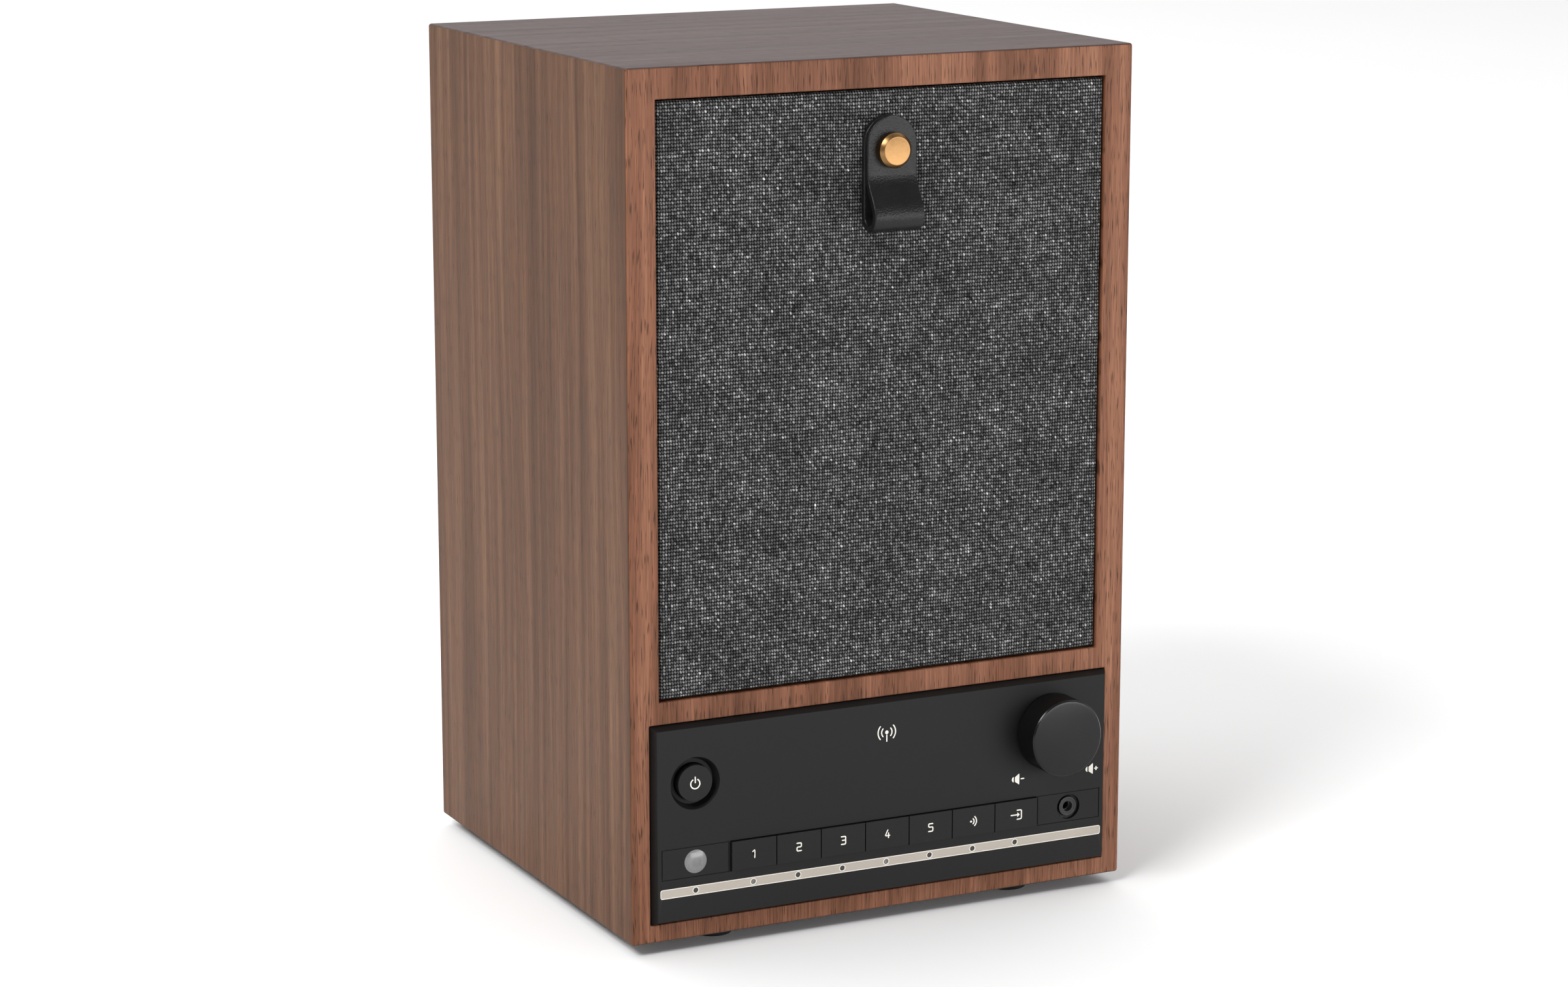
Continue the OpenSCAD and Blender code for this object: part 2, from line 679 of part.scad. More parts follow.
module control_fascia() color(black) in_cabinet() difference() {
  union() {
    bevelled_face();
    block([-body_x, body_x], [0, plate_back], [body_z0, body_z1]);
    difference() {
      block([-body_x, body_x], [0, front_t], [body_z0, body_z1]);
      block([-body_x + skirt_t, body_x - skirt_t], [-cut, front_t + cut],
        [body_z0 + skirt_t, body_z1 - skirt_t]);
    }
    for (p = corner_bosses) bar_y(p, corner_boss_r, 0, front_t);
    for (p = board_bosses) bar_y(p, 2.8, 0, board_y);
    bar_y([-side_x, power_z], dish_r + 1, 0, 2.4);
  }
  block([-slot_x, slot_x], [face_y - cut, plate_back + cut], [slot_z0, slot_z1]);
  bar_y([-side_x, power_z], dish_r, face_y, plate_back, dish_r - 1.2);
  bar_y([-side_x, power_z], power_r + power_gap, face_y - cut, 2.4 + cut);
  bar_y([-side_x, key_z], lens_r + 0.1, face_y - cut, plate_back + cut);
  bar_y([side_x, key_z], socket_recess_r, face_y - cut, face_y + 1.2);
  bar_y([side_x, key_z], 3.4, face_y - cut, plate_back + cut);
  bar_y([knob_x, knob_z], shaft_r + 0.6, face_y - cut, plate_back + cut);
  strip_shape(face_x - 0.8, strip_h / 2 + 0.05, face_y - cut, face_y + strip_t);
  for (x = light_x) bar_y([x, strip_z], light_r, face_y - cut, plate_back + cut);
  for (s = [-1, 1]) engraved(s > 0 ? [plate_in, plate_edge] : [-plate_edge, -plate_in],
    [slot_z0, slot_z1]);
  for (p = corner_bosses) bar_y(p, screw_r + pilot, 3, front_t + cut);
  for (p = board_bosses) bar_y(p, small_screw_r + pilot, 3, board_y + cut);
}

// A bar with four rounded corners, centred on the strip's line.
module strip_shape(x, z, y0, y1) {
  r = 0.7;
  block([-x + r, x - r], [y0, y1], [strip_z - z, strip_z + z]);
  block([-x, x], [y0, y1], [strip_z - z + r, strip_z + z - r]);
  for (sx = [-1, 1], sz = [-1, 1])
    bar_y([sx * (x - r), strip_z + sz * (z - r)], r, y0, y1);
}

module indicator_strip() color(beige) in_cabinet() difference() {
  strip_shape(face_x - 0.85, strip_h / 2, face_y - 0.05, face_y + strip_t);
  for (x = light_x) bar_y([x, strip_z], light_r, face_y - cut, face_y + strip_t + cut);
}

// One clear comb: a bar with a pin for every light.
module light_pipes() color([0.75, 0.76, 0.74, 0.8]) in_cabinet() {
  block([light_x[0] - 3, light_x[key_count] + 3], [plate_back, plate_back + 1.6],
    [strip_z - 1.5, strip_z + 1.5]);
  for (x = light_x) bar_y([x, strip_z], light_r - fit, face_y + 0.3, board_y - 1.2);
}

module ir_lens() color([0.45, 0.45, 0.46, 0.8]) in_cabinet() {
  at = [-side_x, key_z];
  sphere_r = (lens_r * lens_r + lens_dome * lens_dome) / (2 * lens_dome);
  bar_y(at, lens_r, face_y, plate_back);
  bar_y(at, lens_r + 1.1, plate_back, plate_back + 1.2);
  intersection() {
    translate([at[0], face_y - lens_dome + sphere_r, at[1]]) sphere(sphere_r);
    bar_y(at, lens_r, face_y - lens_dome - cut, face_y + 0.1);
  }
}

module control_board() color(circuit) in_cabinet() {
  edge = skirt_t + 1;
  notch = corner_boss_r + 0.6;
  difference() {
    union() {
      block([-body_x + edge, body_x - edge], [board_y, board_y + board_t],
        [body_z0 + edge, body_z1 - edge]);
      for (x = light_x) block([x - 1, x + 1], [board_y - 0.9, board_y], [strip_z - 0.7, strip_z + 0.7]);
      block([-side_x - 2.5, -side_x + 2.5], [3.6, board_y], [key_z - 3, key_z + 3]);
    }
    for (p = corner_bosses) block([p[0] - notch, p[0] + notch],
      [board_y - cut, board_y + board_t + cut], [p[1] - notch, p[1] + notch]);
    for (p = board_bosses) bar_y(p, small_screw_r + through, board_y - cut, board_y + board_t + cut);
    block([side_x - 4.9, side_x + 4.9], [board_y - cut, board_y + board_t + cut],
      [key_z - 4.9, key_z + 4.9]);
  }
}

module tact_switches() color(dark) in_cabinet()
  for (p = concat([[-side_x, power_z]], [for (x = key_x) [x, key_z]])) {
    block([p[0] - 3, p[0] + 3], [switch_body, board_y], [p[1] - 3, p[1] + 3]);
    bar_y(p, 1.7, switch_top, switch_body);
  }

module fascia_screws() color(steel) in_cabinet() {
  for (p = corner_bosses) screw_y(p, front_t + block_d, front_t + block_d - 3.5, screw_r, -1);
  for (p = board_bosses) screw_y(p, board_y + board_t, board_y + board_t - 3.5, small_screw_r, -1);
}

bush_end = face_y - 5;   // front of the encoder's threaded bush

// The encoder with its threaded bush, and the hexagon nut on it.
module encoder_body() color(steel) in_cabinet() {
  at = [knob_x, knob_z];
  difference() {
    union() {
      block([knob_x - 6, knob_x + 6], [2.3, board_y], [knob_z - 6, knob_z + 6]);
      bar_y(at, shaft_r + 0.5, bush_end, 2.4);
    }
    bar_y(at, shaft_r + fit, bush_end - cut, board_y - 1);
  }
  difference() {
    translate([knob_x, face_y - 2, knob_z]) rotate([-90, 0, 0]) cylinder(r = 5.6, h = 2, $fn = 6);
    bar_y(at, shaft_r + 0.52, face_y - 3, face_y + cut);
  }
}

// A 3.5 mm socket opening towards -Y, its mouth at y 0.
module socket_body() difference() {
  union() {
    block([-4.5, 4.5], [2.9, socket_len + 1], [-4.5, 4.5]);
    bar_y([0, 0], socket_r + 0.8, 0, 3);
  }
  bar_y([0, 0], socket_r, -cut, socket_len);
}

module socket_collar() difference() {
  bar_y([0, 0], socket_r + 1.5, 0, 2.9);
  bar_y([0, 0], socket_r + 0.82, -cut, 4);
}

// Puts a socket in the front panel and one in the terminal plate.
module at_sockets() {
  translate([side_x, face_y + 0.5, key_z]) children();
  translate([aux_x, terminal_y + 0.8, terminal_z]) rotate([0, 0, 180]) children();
}

module audio_jacks() color(black) in_cabinet() at_sockets() socket_body();

module jack_collars() color(dark) in_cabinet() at_sockets() socket_collar();

module power_button() color(black) in_cabinet() {
  at = [-side_x, power_z];
  bar_y(at, power_r, face_y, 2.6);
  bar_y(at, power_r + 1, 2.5, 3.3);
  bar_y(at, 1.6, 3.2, switch_top - power_travel - fit);
}

module key(i) color(black) in_cabinet() {
  x = key_x[i];
  half = (key_pitch - key_gap) / 2;
  block([x - half, x + half], [face_y - key_proud, plate_back + 1.1],
    [key_z - key_h / 2, key_z + key_h / 2]);
  block([x - half, x + half], [plate_back + 0.1, plate_back + 1.1],
    [key_z - key_h / 2 - 1.1, key_z + key_h / 2 + 1.1]);
  bar_y([x, key_z], 1.6, plate_back + 1, switch_top - key_travel - fit);
}

module volume_knob() color(black) in_cabinet() {
  at = [knob_x, knob_z];
  front = face_y - knob_len;
  back = face_y - knob_gap;
  edge = 0.5;
  difference() {
    union() {
      bar_y(at, knob_r - edge, front, front + edge, knob_r);
      bar_y(at, knob_r, front + edge, back);
    }
    difference() {
      bar_y(at, knob_r - 2, front + 2.5, back + cut);
      bar_y(at, shaft_r + 2.5, front, bush_end - 0.6);
    }
    shaft_core(fit);
  }
}

// The shaft's outline in front of the bush, with its flat.
module shaft_core(extra) {
  shaft_front = face_y - knob_len + 2.5;
  intersection() {
    bar_y([knob_x, knob_z], shaft_r + extra, shaft_front - extra, bush_end - 0.5);
    block([knob_x - shaft_r - cut, knob_x + shaft_r + cut], [shaft_front - cut, bush_end],
      [knob_z - shaft_r - cut, knob_z + shaft_r - 1.2 + extra]);
  }
}

module encoder_shaft() color(steel) in_cabinet() {
  shaft_core(0);
  bar_y([knob_x, knob_z], shaft_r, bush_end - 0.5, board_y - 1.2);
}

// ---- electronics on the floor ----

module pcb(x, y) difference() {
  block(x, y, [pcb_z, pcb_z + board_t]);
  for (px = post_at(x), py = post_at(y)) bar_z(px, py, 1.5, pcb_z - cut, pcb_z + board_t + cut);
}

function post_at(span) = [span[0] + 4, span[1] - 4];

board_top = pcb_z + board_t;

module main_board() color(circuit) in_cabinet() {
  y0 = main_board_y[0];
  pcb(main_board_x, main_board_y);
  for (i = [0:3]) bar_z(main_board_x[0] + 12 + i * 13, y0 + 10, 4, board_top, board_top + 11);
  block([main_board_x[0] + 50, main_board_x[0] + 66], [y0 + 32, y0 + 48], [board_top, board_top + 2]);
}

module heat_sink() color(steel) in_cabinet() {
  x0 = main_board_x[0] + 8;
  y0 = main_board_y[0] + 26;
  fin = 1.6;
  block([x0, x0 + 34], [y0, y0 + 24], [board_top, board_top + 4]);
  for (i = [0:6]) block([x0 + i * 5.4, x0 + i * 5.4 + fin], [y0, y0 + 24], [board_top + 4, board_top + 22]);
}

module tuner_module() color(steel) in_cabinet() {
  x0 = main_board_x[0] + 50;
  y1 = main_board_y[1] - 8;
  block([x0, x0 + 24], [y1 - 30, y1], [board_top, board_top + 4]);
  bar_z(x0 + 12, y1 - 6, 2, board_top + 4, board_top + 8);
}

module power_board() color([0.55, 0.42, 0.2]) in_cabinet() {
  x0 = power_board_x[0];
  y0 = power_board_y[0];
  pcb(power_board_x, power_board_y);
  bar_z(x0 + 16, y0 + 14, 8, board_top, board_top + 25);
  bar_z(x0 + 36, y0 + 14, 6, board_top, board_top + 20);
}

module transformer() color([0.85, 0.75, 0.3]) in_cabinet() {
  x0 = power_board_x[0] + 12;
  y0 = power_board_y[0] + 30;
  block([x0, x0 + 30], [y0, y0 + 26], [board_top, board_top + 24]);
  block([x0 - 3, x0 + 33], [y0 + 7, y0 + 19], [board_top, board_top + 24]);
}

module board_standoffs() color([0.9, 0.9, 0.88]) in_cabinet()
  for (b = [[main_board_x, main_board_y], [power_board_x, power_board_y]])
    for (x = post_at(b[0]), y = post_at(b[1])) {
      bar_z(x, y, 3, wall_t, pcb_z);
      bar_z(x, y, 1.4, pcb_z - 0.1, board_top + 1.5);
    }

// ---- rear ----

module terminal_plate() color(black) in_cabinet() difference() {
  block([-terminal_w / 2, terminal_w / 2], [rear_out, terminal_y],
    [terminal_z - terminal_h / 2, terminal_z + terminal_h / 2]);
  block([inlet_x - 10.2, inlet_x + 10.2], [rear_out - cut, terminal_y + cut],
    [terminal_z - 6.2, terminal_z + 6.2]);
  bar_y([aux_x, terminal_z], socket_r + 1.6, rear_out - cut, terminal_y + cut);
  for (p = terminal_screw_at) bar_y(p, screw_r + through, rear_out - cut, terminal_y + cut);
}

// A two-pin inlet with its pins inside.
module mains_inlet() color(black) in_cabinet() translate([inlet_x, terminal_y, terminal_z]) {
  difference() {
    union() {
      block([-12, 12], [0, 1.5], [-7.5, 7.5]);
      block([-10, 10], [-inlet_depth - 1, 0], [-6, 6]);
    }
    for (s = [-1, 1]) bar_y([s * inlet_half_w, 0], inlet_end_r, 1.5 - inlet_depth, 1.5 + cut);
    block([-inlet_half_w, inlet_half_w], [1.5 - inlet_depth, 1.5 + cut], [-inlet_end_r, inlet_end_r]);
  }
  for (s = [-1, 1]) bar_y([s * 4.3, 0], 1.18, 1.4 - inlet_depth, -2.5);
}

module antenna_base() color(black) in_cabinet() {
  at = [antenna_x, pivot_z];
  bar_y(at, 9, rear_out, base_y);
  bar_y(at, swivel_r, rear_in - 3, yoke_y);
}

module antenna_yoke() color(black) in_cabinet() difference() {
  at = [antenna_x, pivot_z];
  union() {
    bar_y(at, 6.5, base_y + 0.3, yoke_y);
    for (s = [-1, 1]) {
      x = antenna_x + s * (tongue_x + loose + ear_t / 2);
      block([x - ear_t / 2, x + ear_t / 2], [yoke_y - 0.1, pivot_y], [pivot_z - ear_r, pivot_z + ear_r]);
      bar_x(pivot_y, pivot_z, ear_r, x - ear_t / 2, x + ear_t / 2);
    }
    bar_x(pivot_y, pivot_z, pin_r, antenna_x - tongue_x - loose - 0.1, antenna_x + tongue_x + loose + 0.1);
  }
  bar_y(at, swivel_r + fit, base_y, yoke_y + 0.2);
}

// A section of the antenna hanging from the pivot, open at its lower end.
module section(i) difference() {
  bar_z(antenna_x, pivot_y, tube_r[i], pivot_z - tube_end[i], pivot_z - tube_start[i]);
  bar_z(antenna_x, pivot_y, tube_r[i] - tube_wall, pivot_z - tube_end[i] - cut,
    pivot_z - tube_start[i] - tube_cap);
}

module antenna_tube_1() color(steel) in_cabinet() {
  section(0);
  difference() {
    union() {
      bar_x(pivot_y, pivot_z, 4, antenna_x - tongue_x, antenna_x + tongue_x);
      block([antenna_x - tongue_x, antenna_x + tongue_x], [pivot_y - 2.4, pivot_y + 2.4],
        [pivot_z - 8, pivot_z]);
      bar_z(antenna_x, pivot_y, tube_r[0], pivot_z - tube_start[0], pivot_z - 6);
    }
    bar_x(pivot_y, pivot_z, pin_r + fit, antenna_x - tongue_x - cut, antenna_x + tongue_x + cut);
  }
}

module antenna_tube_2() color(steel) in_cabinet() section(1);

module antenna_tube_3() color(steel) in_cabinet() section(2);

module antenna_tip() color(steel) in_cabinet() {
  end = pivot_z - tube_end[3];
  bar_z(antenna_x, pivot_y, tube_r[3], end, pivot_z - tube_start[3]);
  bar_z(antenna_x, pivot_y, tube_r[0], end - 6, end);
}

left_side();
right_side();
top_board();
bottom_board();
front_board();
baffle();
shelf();
rear_panel();
glue_blocks();
panel_screws();
feet();
foot_screws();
bass_port();
grille_cups();
woofer_basket();
woofer_magnet();
woofer_suspension();
driver_screws();
tweeter_body();
tweeter_dome();
control_fascia();
indicator_strip();
light_pipes();
ir_lens();
control_board();
tact_switches();
fascia_screws();
encoder_body();
audio_jacks();
jack_collars();
main_board();
heat_sink();
tuner_module();
power_board();
transformer();
board_standoffs();
terminal_plate();
mains_inlet();
antenna_base();
power_button();
key(0);  // key_1
key(1);  // key_2
key(2);  // key_3
key(3);  // key_4
key(4);  // key_5
key(5);  // key_6
key(6);  // key_7
volume_knob();
encoder_shaft();
grille_frame();
grille_fabric();
leather_tab();
tab_stud();
woofer_cone();
voice_coil();
antenna_yoke();
antenna_tube_1();
antenna_tube_2();
antenna_tube_3();
antenna_tip();
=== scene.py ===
"""A tabletop radio: walnut veneered cabinet, woven grille with a leather pull, moulded control
panel, and a rear panel with bass port, sockets and telescopic antenna.

Everything is in metres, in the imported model's own frame: +Z is up and -Y is the front.
"""
import math
import random

import bmesh
import bpy
import numpy as np
from mathutils import Matrix, Vector


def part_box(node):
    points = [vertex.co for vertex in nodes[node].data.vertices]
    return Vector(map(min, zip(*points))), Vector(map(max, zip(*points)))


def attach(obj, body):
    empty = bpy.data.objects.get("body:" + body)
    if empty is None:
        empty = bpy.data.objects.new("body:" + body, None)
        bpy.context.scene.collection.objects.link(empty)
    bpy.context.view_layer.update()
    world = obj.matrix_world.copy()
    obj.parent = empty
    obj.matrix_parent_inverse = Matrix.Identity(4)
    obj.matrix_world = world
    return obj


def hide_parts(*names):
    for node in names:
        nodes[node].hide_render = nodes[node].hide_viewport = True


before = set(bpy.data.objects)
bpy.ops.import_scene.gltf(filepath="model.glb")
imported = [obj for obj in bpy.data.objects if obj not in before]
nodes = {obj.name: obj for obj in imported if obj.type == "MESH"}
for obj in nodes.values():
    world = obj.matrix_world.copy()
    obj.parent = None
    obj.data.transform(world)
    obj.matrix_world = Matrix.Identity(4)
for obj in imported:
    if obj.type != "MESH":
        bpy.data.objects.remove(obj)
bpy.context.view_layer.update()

MM = 0.001


def box(name):
    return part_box(name)


def centre(name):
    lo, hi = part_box(name)
    return (lo + hi) / 2


# ---------------------------------------------------------------- mesh helpers

def new_object(name, mesh, materials):
    obj = bpy.data.objects.new(name, mesh)
    bpy.context.scene.collection.objects.link(obj)
    for material in materials:
        mesh.materials.append(material)
    return obj


def from_faces(name, verts, faces, materials, smooth=True):
    mesh = bpy.data.meshes.new(name)
    mesh.from_pydata(verts, [], faces)
    mesh.validate()
    mesh.polygons.foreach_set("use_smooth", [smooth] * len(mesh.polygons))
    mesh.update()
    return new_object(name, mesh, materials)


def from_bmesh(name, bm, materials, smooth=False):
    bmesh.ops.recalc_face_normals(bm, faces=bm.faces)
    mesh = bpy.data.meshes.new(name)
    bm.to_mesh(mesh)
    bm.free()
    mesh.polygons.foreach_set("use_smooth", [smooth] * len(mesh.polygons))
    mesh.update()
    return new_object(name, mesh, materials)


def add_lathe(bm, x, z, profile, segments=96):
    """Turns a closed profile of (radius, y) points about the Y axis through x, z."""
    rings = []
    for radius, y in profile:
        if radius < 1e-7:
            rings.append([bm.verts.new((x, y, z))])
            continue
        ring = []
        for i in range(segments):
            a = 2 * math.pi * i / segments
            ring.append(bm.verts.new((x + radius * math.cos(a), y, z + radius * math.sin(a))))
        rings.append(ring)
    count = len(rings)
    for k in range(count):
        a, b = rings[k], rings[(k + 1) % count]
        if len(a) == 1 and len(b) == 1:
            continue
        for i in range(segments):
            j = (i + 1) % segments
            if len(a) == 1:
                bm.faces.new((a[0], b[j], b[i]))
            elif len(b) == 1:
                bm.faces.new((a[i], a[j], b[0]))
            else:
                bm.faces.new((a[i], a[j], b[j], b[i]))


def rounded(points, radius, steps=3):
    """A profile whose corners are rounded by up to radius."""
    out = []
    count = len(points)
    for k in range(count):
        p = Vector(points[k])
        before = Vector(points[k - 1]) - p
        after = Vector(points[(k + 1) % count]) - p
        on_axis = p.x < 1e-7
        r = min(radius, before.length * 0.45, after.length * 0.45)
        if on_axis or r < 1e-7 or before.normalized().dot(after.normalized()) < -0.995:
            out.append(tuple(p))
            continue
        a = p + before.normalized() * r
        b = p + after.normalized() * r
        for s in range(steps + 1):
            t = s / steps
            out.append(tuple(a * (1 - t) ** 2 + p * 2 * t * (1 - t) + b * t * t))
    return out


def lathe(name, x, z, profile, material, segments=96, edge=0.0002):
    bm = bmesh.new()
    add_lathe(bm, x, z, rounded(profile, edge), segments)
    return from_bmesh(name, bm, [material], smooth=True)


def add_prism(bm, outline, y0, y1):
    """A plate between y0 and y1 with an outline of (x, z) points."""
    front = [bm.verts.new((x, y0, z)) for x, z in outline]
    back = [bm.verts.new((x, y1, z)) for x, z in outline]
    bm.faces.new(front)
    bm.faces.new(list(reversed(back)))
    count = len(outline)
    for i in range(count):
        j = (i + 1) % count
        bm.faces.new((front[j], front[i], back[i], back[j]))


def ribbon_outline(points, width):
    """The outline of a stroke of even width with round ends, along (x, z) points."""
    path = [Vector(p) for p in points]
    half = width / 2
    left, right = [], []
    for i, p in enumerate(path):
        a = (path[i] - path[i - 1]).normalized() if i else None
        b = (path[i + 1] - path[i]).normalized() if i + 1 < len(path) else None
        if a is None or b is None:
            d = b if a is None else a
            n = Vector((-d.y, d.x)) * half
        else:
            m = (a + b).normalized()
            n = Vector((-m.y, m.x))
            n = n * min(half / max(0.35, n.dot(Vector((-a.y, a.x)))), half * 2)
        left.append(p + n)
        right.append(p - n)
    ends = []
    for tip, side, d in ((path[-1], left[-1], path[-1] - path[-2]), (path[0], right[0], path[0] - path[1])):
        d = d.normalized()
        n = side - tip
        ends.append([tip + n * math.cos(a) + d * half * math.sin(a)
                     for a in (math.pi * k / 6 for k in range(1, 6))])
    return [tuple(v) for v in left + ends[0] + right[::-1] + ends[1]]


def corner_path(points, radius, steps=4):
    """An open path of (x, z) points with its inner corners rounded."""
    out = [points[0]]
    for k in range(1, len(points) - 1):
        p = Vector(points[k])
        before = Vector(points[k - 1]) - p
        after = Vector(points[k + 1]) - p
        r = min(radius, before.length * 0.48, after.length * 0.48)
        a, b = p + before.normalized() * r, p + after.normalized() * r
        for s in range(steps + 1):
            t = s / steps
            out.append(tuple(a * (1 - t) ** 2 + p * 2 * t * (1 - t) + b * t * t))
    out.append(points[-1])
    return out


def arc(cx, cz, radius, start, end, steps=20):
    """Points of an arc, its angles in degrees from +X towards +Z."""
    return [(cx + radius * math.cos(math.radians(start + (end - start) * k / steps)),
             cz + radius * math.sin(math.radians(start + (end - start) * k / steps)))
            for k in range(steps + 1)]


def cells(xs, ys, zs, solid):
    """The skin of the grid cells for which solid(i, j, k) holds."""
    bm = bmesh.new()
    made = {}

    def vert(i, j, k):
        if (i, j, k) not in made:
            made[i, j, k] = bm.verts.new((xs[i], ys[j], zs[k]))
        return made[i, j, k]

    sides = (((-1, 0, 0), ((0, 0, 0), (0, 0, 1), (0, 1, 1), (0, 1, 0))),
             ((1, 0, 0), ((1, 0, 0), (1, 1, 0), (1, 1, 1), (1, 0, 1))),
             ((0, -1, 0), ((0, 0, 0), (1, 0, 0), (1, 0, 1), (0, 0, 1))),
             ((0, 1, 0), ((0, 1, 0), (0, 1, 1), (1, 1, 1), (1, 1, 0))),
             ((0, 0, -1), ((0, 0, 0), (0, 1, 0), (1, 1, 0), (1, 0, 0))),
             ((0, 0, 1), ((0, 0, 1), (1, 0, 1), (1, 1, 1), (0, 1, 1))))
    size = (len(xs) - 1, len(ys) - 1, len(zs) - 1)

    def filled(cell):
        return all(0 <= c < s for c, s in zip(cell, size)) and solid(*cell)

    for i in range(size[0]):
        for j in range(size[1]):
            for k in range(size[2]):
                if not filled((i, j, k)):
                    continue
                for step, corners in sides:
                    if not filled((i + step[0], j + step[1], k + step[2])):
                        bm.faces.new([vert(i + c[0], j + c[1], k + c[2]) for c in corners])
    return bm


def islands(name):
    """The boxes of a CAD node's separate solids, as (lowest, highest) corners."""
    mesh = nodes[name].data
    parent = {}

    def find(a):
        while parent[a] != a:
            parent[a] = parent[parent[a]]
            a = parent[a]
        return a

    keys = [tuple(round(c, 6) for c in v.co) for v in mesh.vertices]
    for key in keys:
        parent.setdefault(key, key)
    for edge in mesh.edges:
        a, b = find(keys[edge.vertices[0]]), find(keys[edge.vertices[1]])
        parent[a] = b
    groups = {}
    for key in parent:
        groups.setdefault(find(key), []).append(key)
    found = []
    for group in groups.values():
        points = np.array(group)
        found.append((Vector(points.min(0)), Vector(points.max(0))))
    return sorted(found, key=lambda b: (round(b[0].z, 4), round(b[0].x, 4), round(b[0].y, 4)))


def soften(name, width, segments=2, angle=35):
    """Rounds a CAD node's edges with modifiers, which leave its own mesh alone."""
    obj = nodes[name]
    weld = obj.modifiers.new("weld", "WELD")
    weld.merge_threshold = 2e-6
    bevel = obj.modifiers.new("edges", "BEVEL")
    bevel.width = width
    bevel.segments = segments
    bevel.limit_method = "ANGLE"
    bevel.angle_limit = math.radians(angle)
    bevel.use_clamp_overlap = True
    normals = obj.modifiers.new("normals", "WEIGHTED_NORMAL")
    normals.keep_sharp = False


# ---------------------------------------------------------------- materials

class Graph:
    """A material's nodes, with short calls for the ones used here."""

    def __init__(self, name, **constants):
        self.material = bpy.data.materials.new(name)
        self.material.use_nodes = True
        self.tree = self.material.node_tree
        self.shader = self.tree.nodes["Principled BSDF"]
        for socket, value in constants.items():
            self.shader.inputs[socket.replace("_", " ")].default_value = value

    def node(self, kind, sockets=(), **settings):
        made = self.tree.nodes.new(kind)
        for key, value in settings.items():
            setattr(made, key, value)
        for socket, value in dict(sockets).items():
            self.put(made.inputs[socket], value)
        return made

    def put(self, socket, value):
        if isinstance(value, bpy.types.NodeSocket):
            self.tree.links.new(value, socket)
        else:
            socket.default_value = value

    def place(self):
        return self.node("ShaderNodeTexCoord").outputs["Object"]

    def split(self, vector):
        made = self.node("ShaderNodeSeparateXYZ", {0: vector})
        return made.outputs[0], made.outputs[1], made.outputs[2]

    def join(self, x, y, z=0.0):
        return self.node("ShaderNodeCombineXYZ", {0: x, 1: y, 2: z}).outputs[0]

    def math(self, operation, a, b=0.0, clamp=False):
        return self.node("ShaderNodeMath", {0: a, 1: b}, operation=operation, use_clamp=clamp).outputs[0]

    def noise(self, vector, scale=1.0, detail=2.0, rough=0.5, distortion=0.0):
        sockets = {"Vector": vector, "Scale": scale, "Detail": detail, "Roughness": rough,
                   "Distortion": distortion}
        return self.node("ShaderNodeTexNoise", sockets).outputs["Fac"]

    def span(self, value, low, high, to_low=0.0, to_high=1.0):
        sockets = {0: value, 1: low, 2: high, 3: to_low, 4: to_high}
        return self.node("ShaderNodeMapRange", sockets, clamp=True).outputs[0]

    def ramp(self, value, stops):
        made = self.node("ShaderNodeValToRGB", {0: value})
        elements = made.color_ramp.elements
        while len(elements) < len(stops):
            elements.new(0.5)
        for element, (place, colour) in zip(elements, stops):
            element.position = place
            element.color = (*colour, 1.0)
        return made.outputs[0]

    def mix(self, factor, a, b, blend="MIX"):
        made = self.node("ShaderNodeMix", data_type="RGBA", blend_type=blend)
        for socket, value in ((0, factor), (6, a), (7, b)):
            if isinstance(value, tuple):
                value = (*value, 1.0)[:4]
            self.put(made.inputs[socket], value)
        return made.outputs[2]

    def bump(self, height, strength, distance):
        made = self.node("ShaderNodeBump", {"Height": height})
        made.inputs["Strength"].default_value = strength
        made.inputs["Distance"].default_value = distance
        self.tree.links.new(made.outputs[0], self.shader.inputs["Normal"])

    def colour(self, value):
        self.put(self.shader.inputs["Base Color"], value)

    def roughness(self, value):
        self.put(self.shader.inputs["Roughness"], value)


def grey(value, warm=0.0):
    return (value * (1 + warm), value, value * (1 - warm))


# Tones of one walnut veneer, a dark, middle and light set per face: painted shade, with the front set brightest, the
# sides darker and the top darkest.
WALNUT_SHADED_BY_FACE = {
    "front": ((0.110, 0.042, 0.021), (0.188, 0.076, 0.041), (0.275, 0.122, 0.070)),
    "side": ((0.060, 0.023, 0.010), (0.116, 0.053, 0.026), (0.185, 0.095, 0.051)),
    "top": ((0.035, 0.018, 0.015), (0.060, 0.034, 0.030), (0.092, 0.056, 0.050)),
}


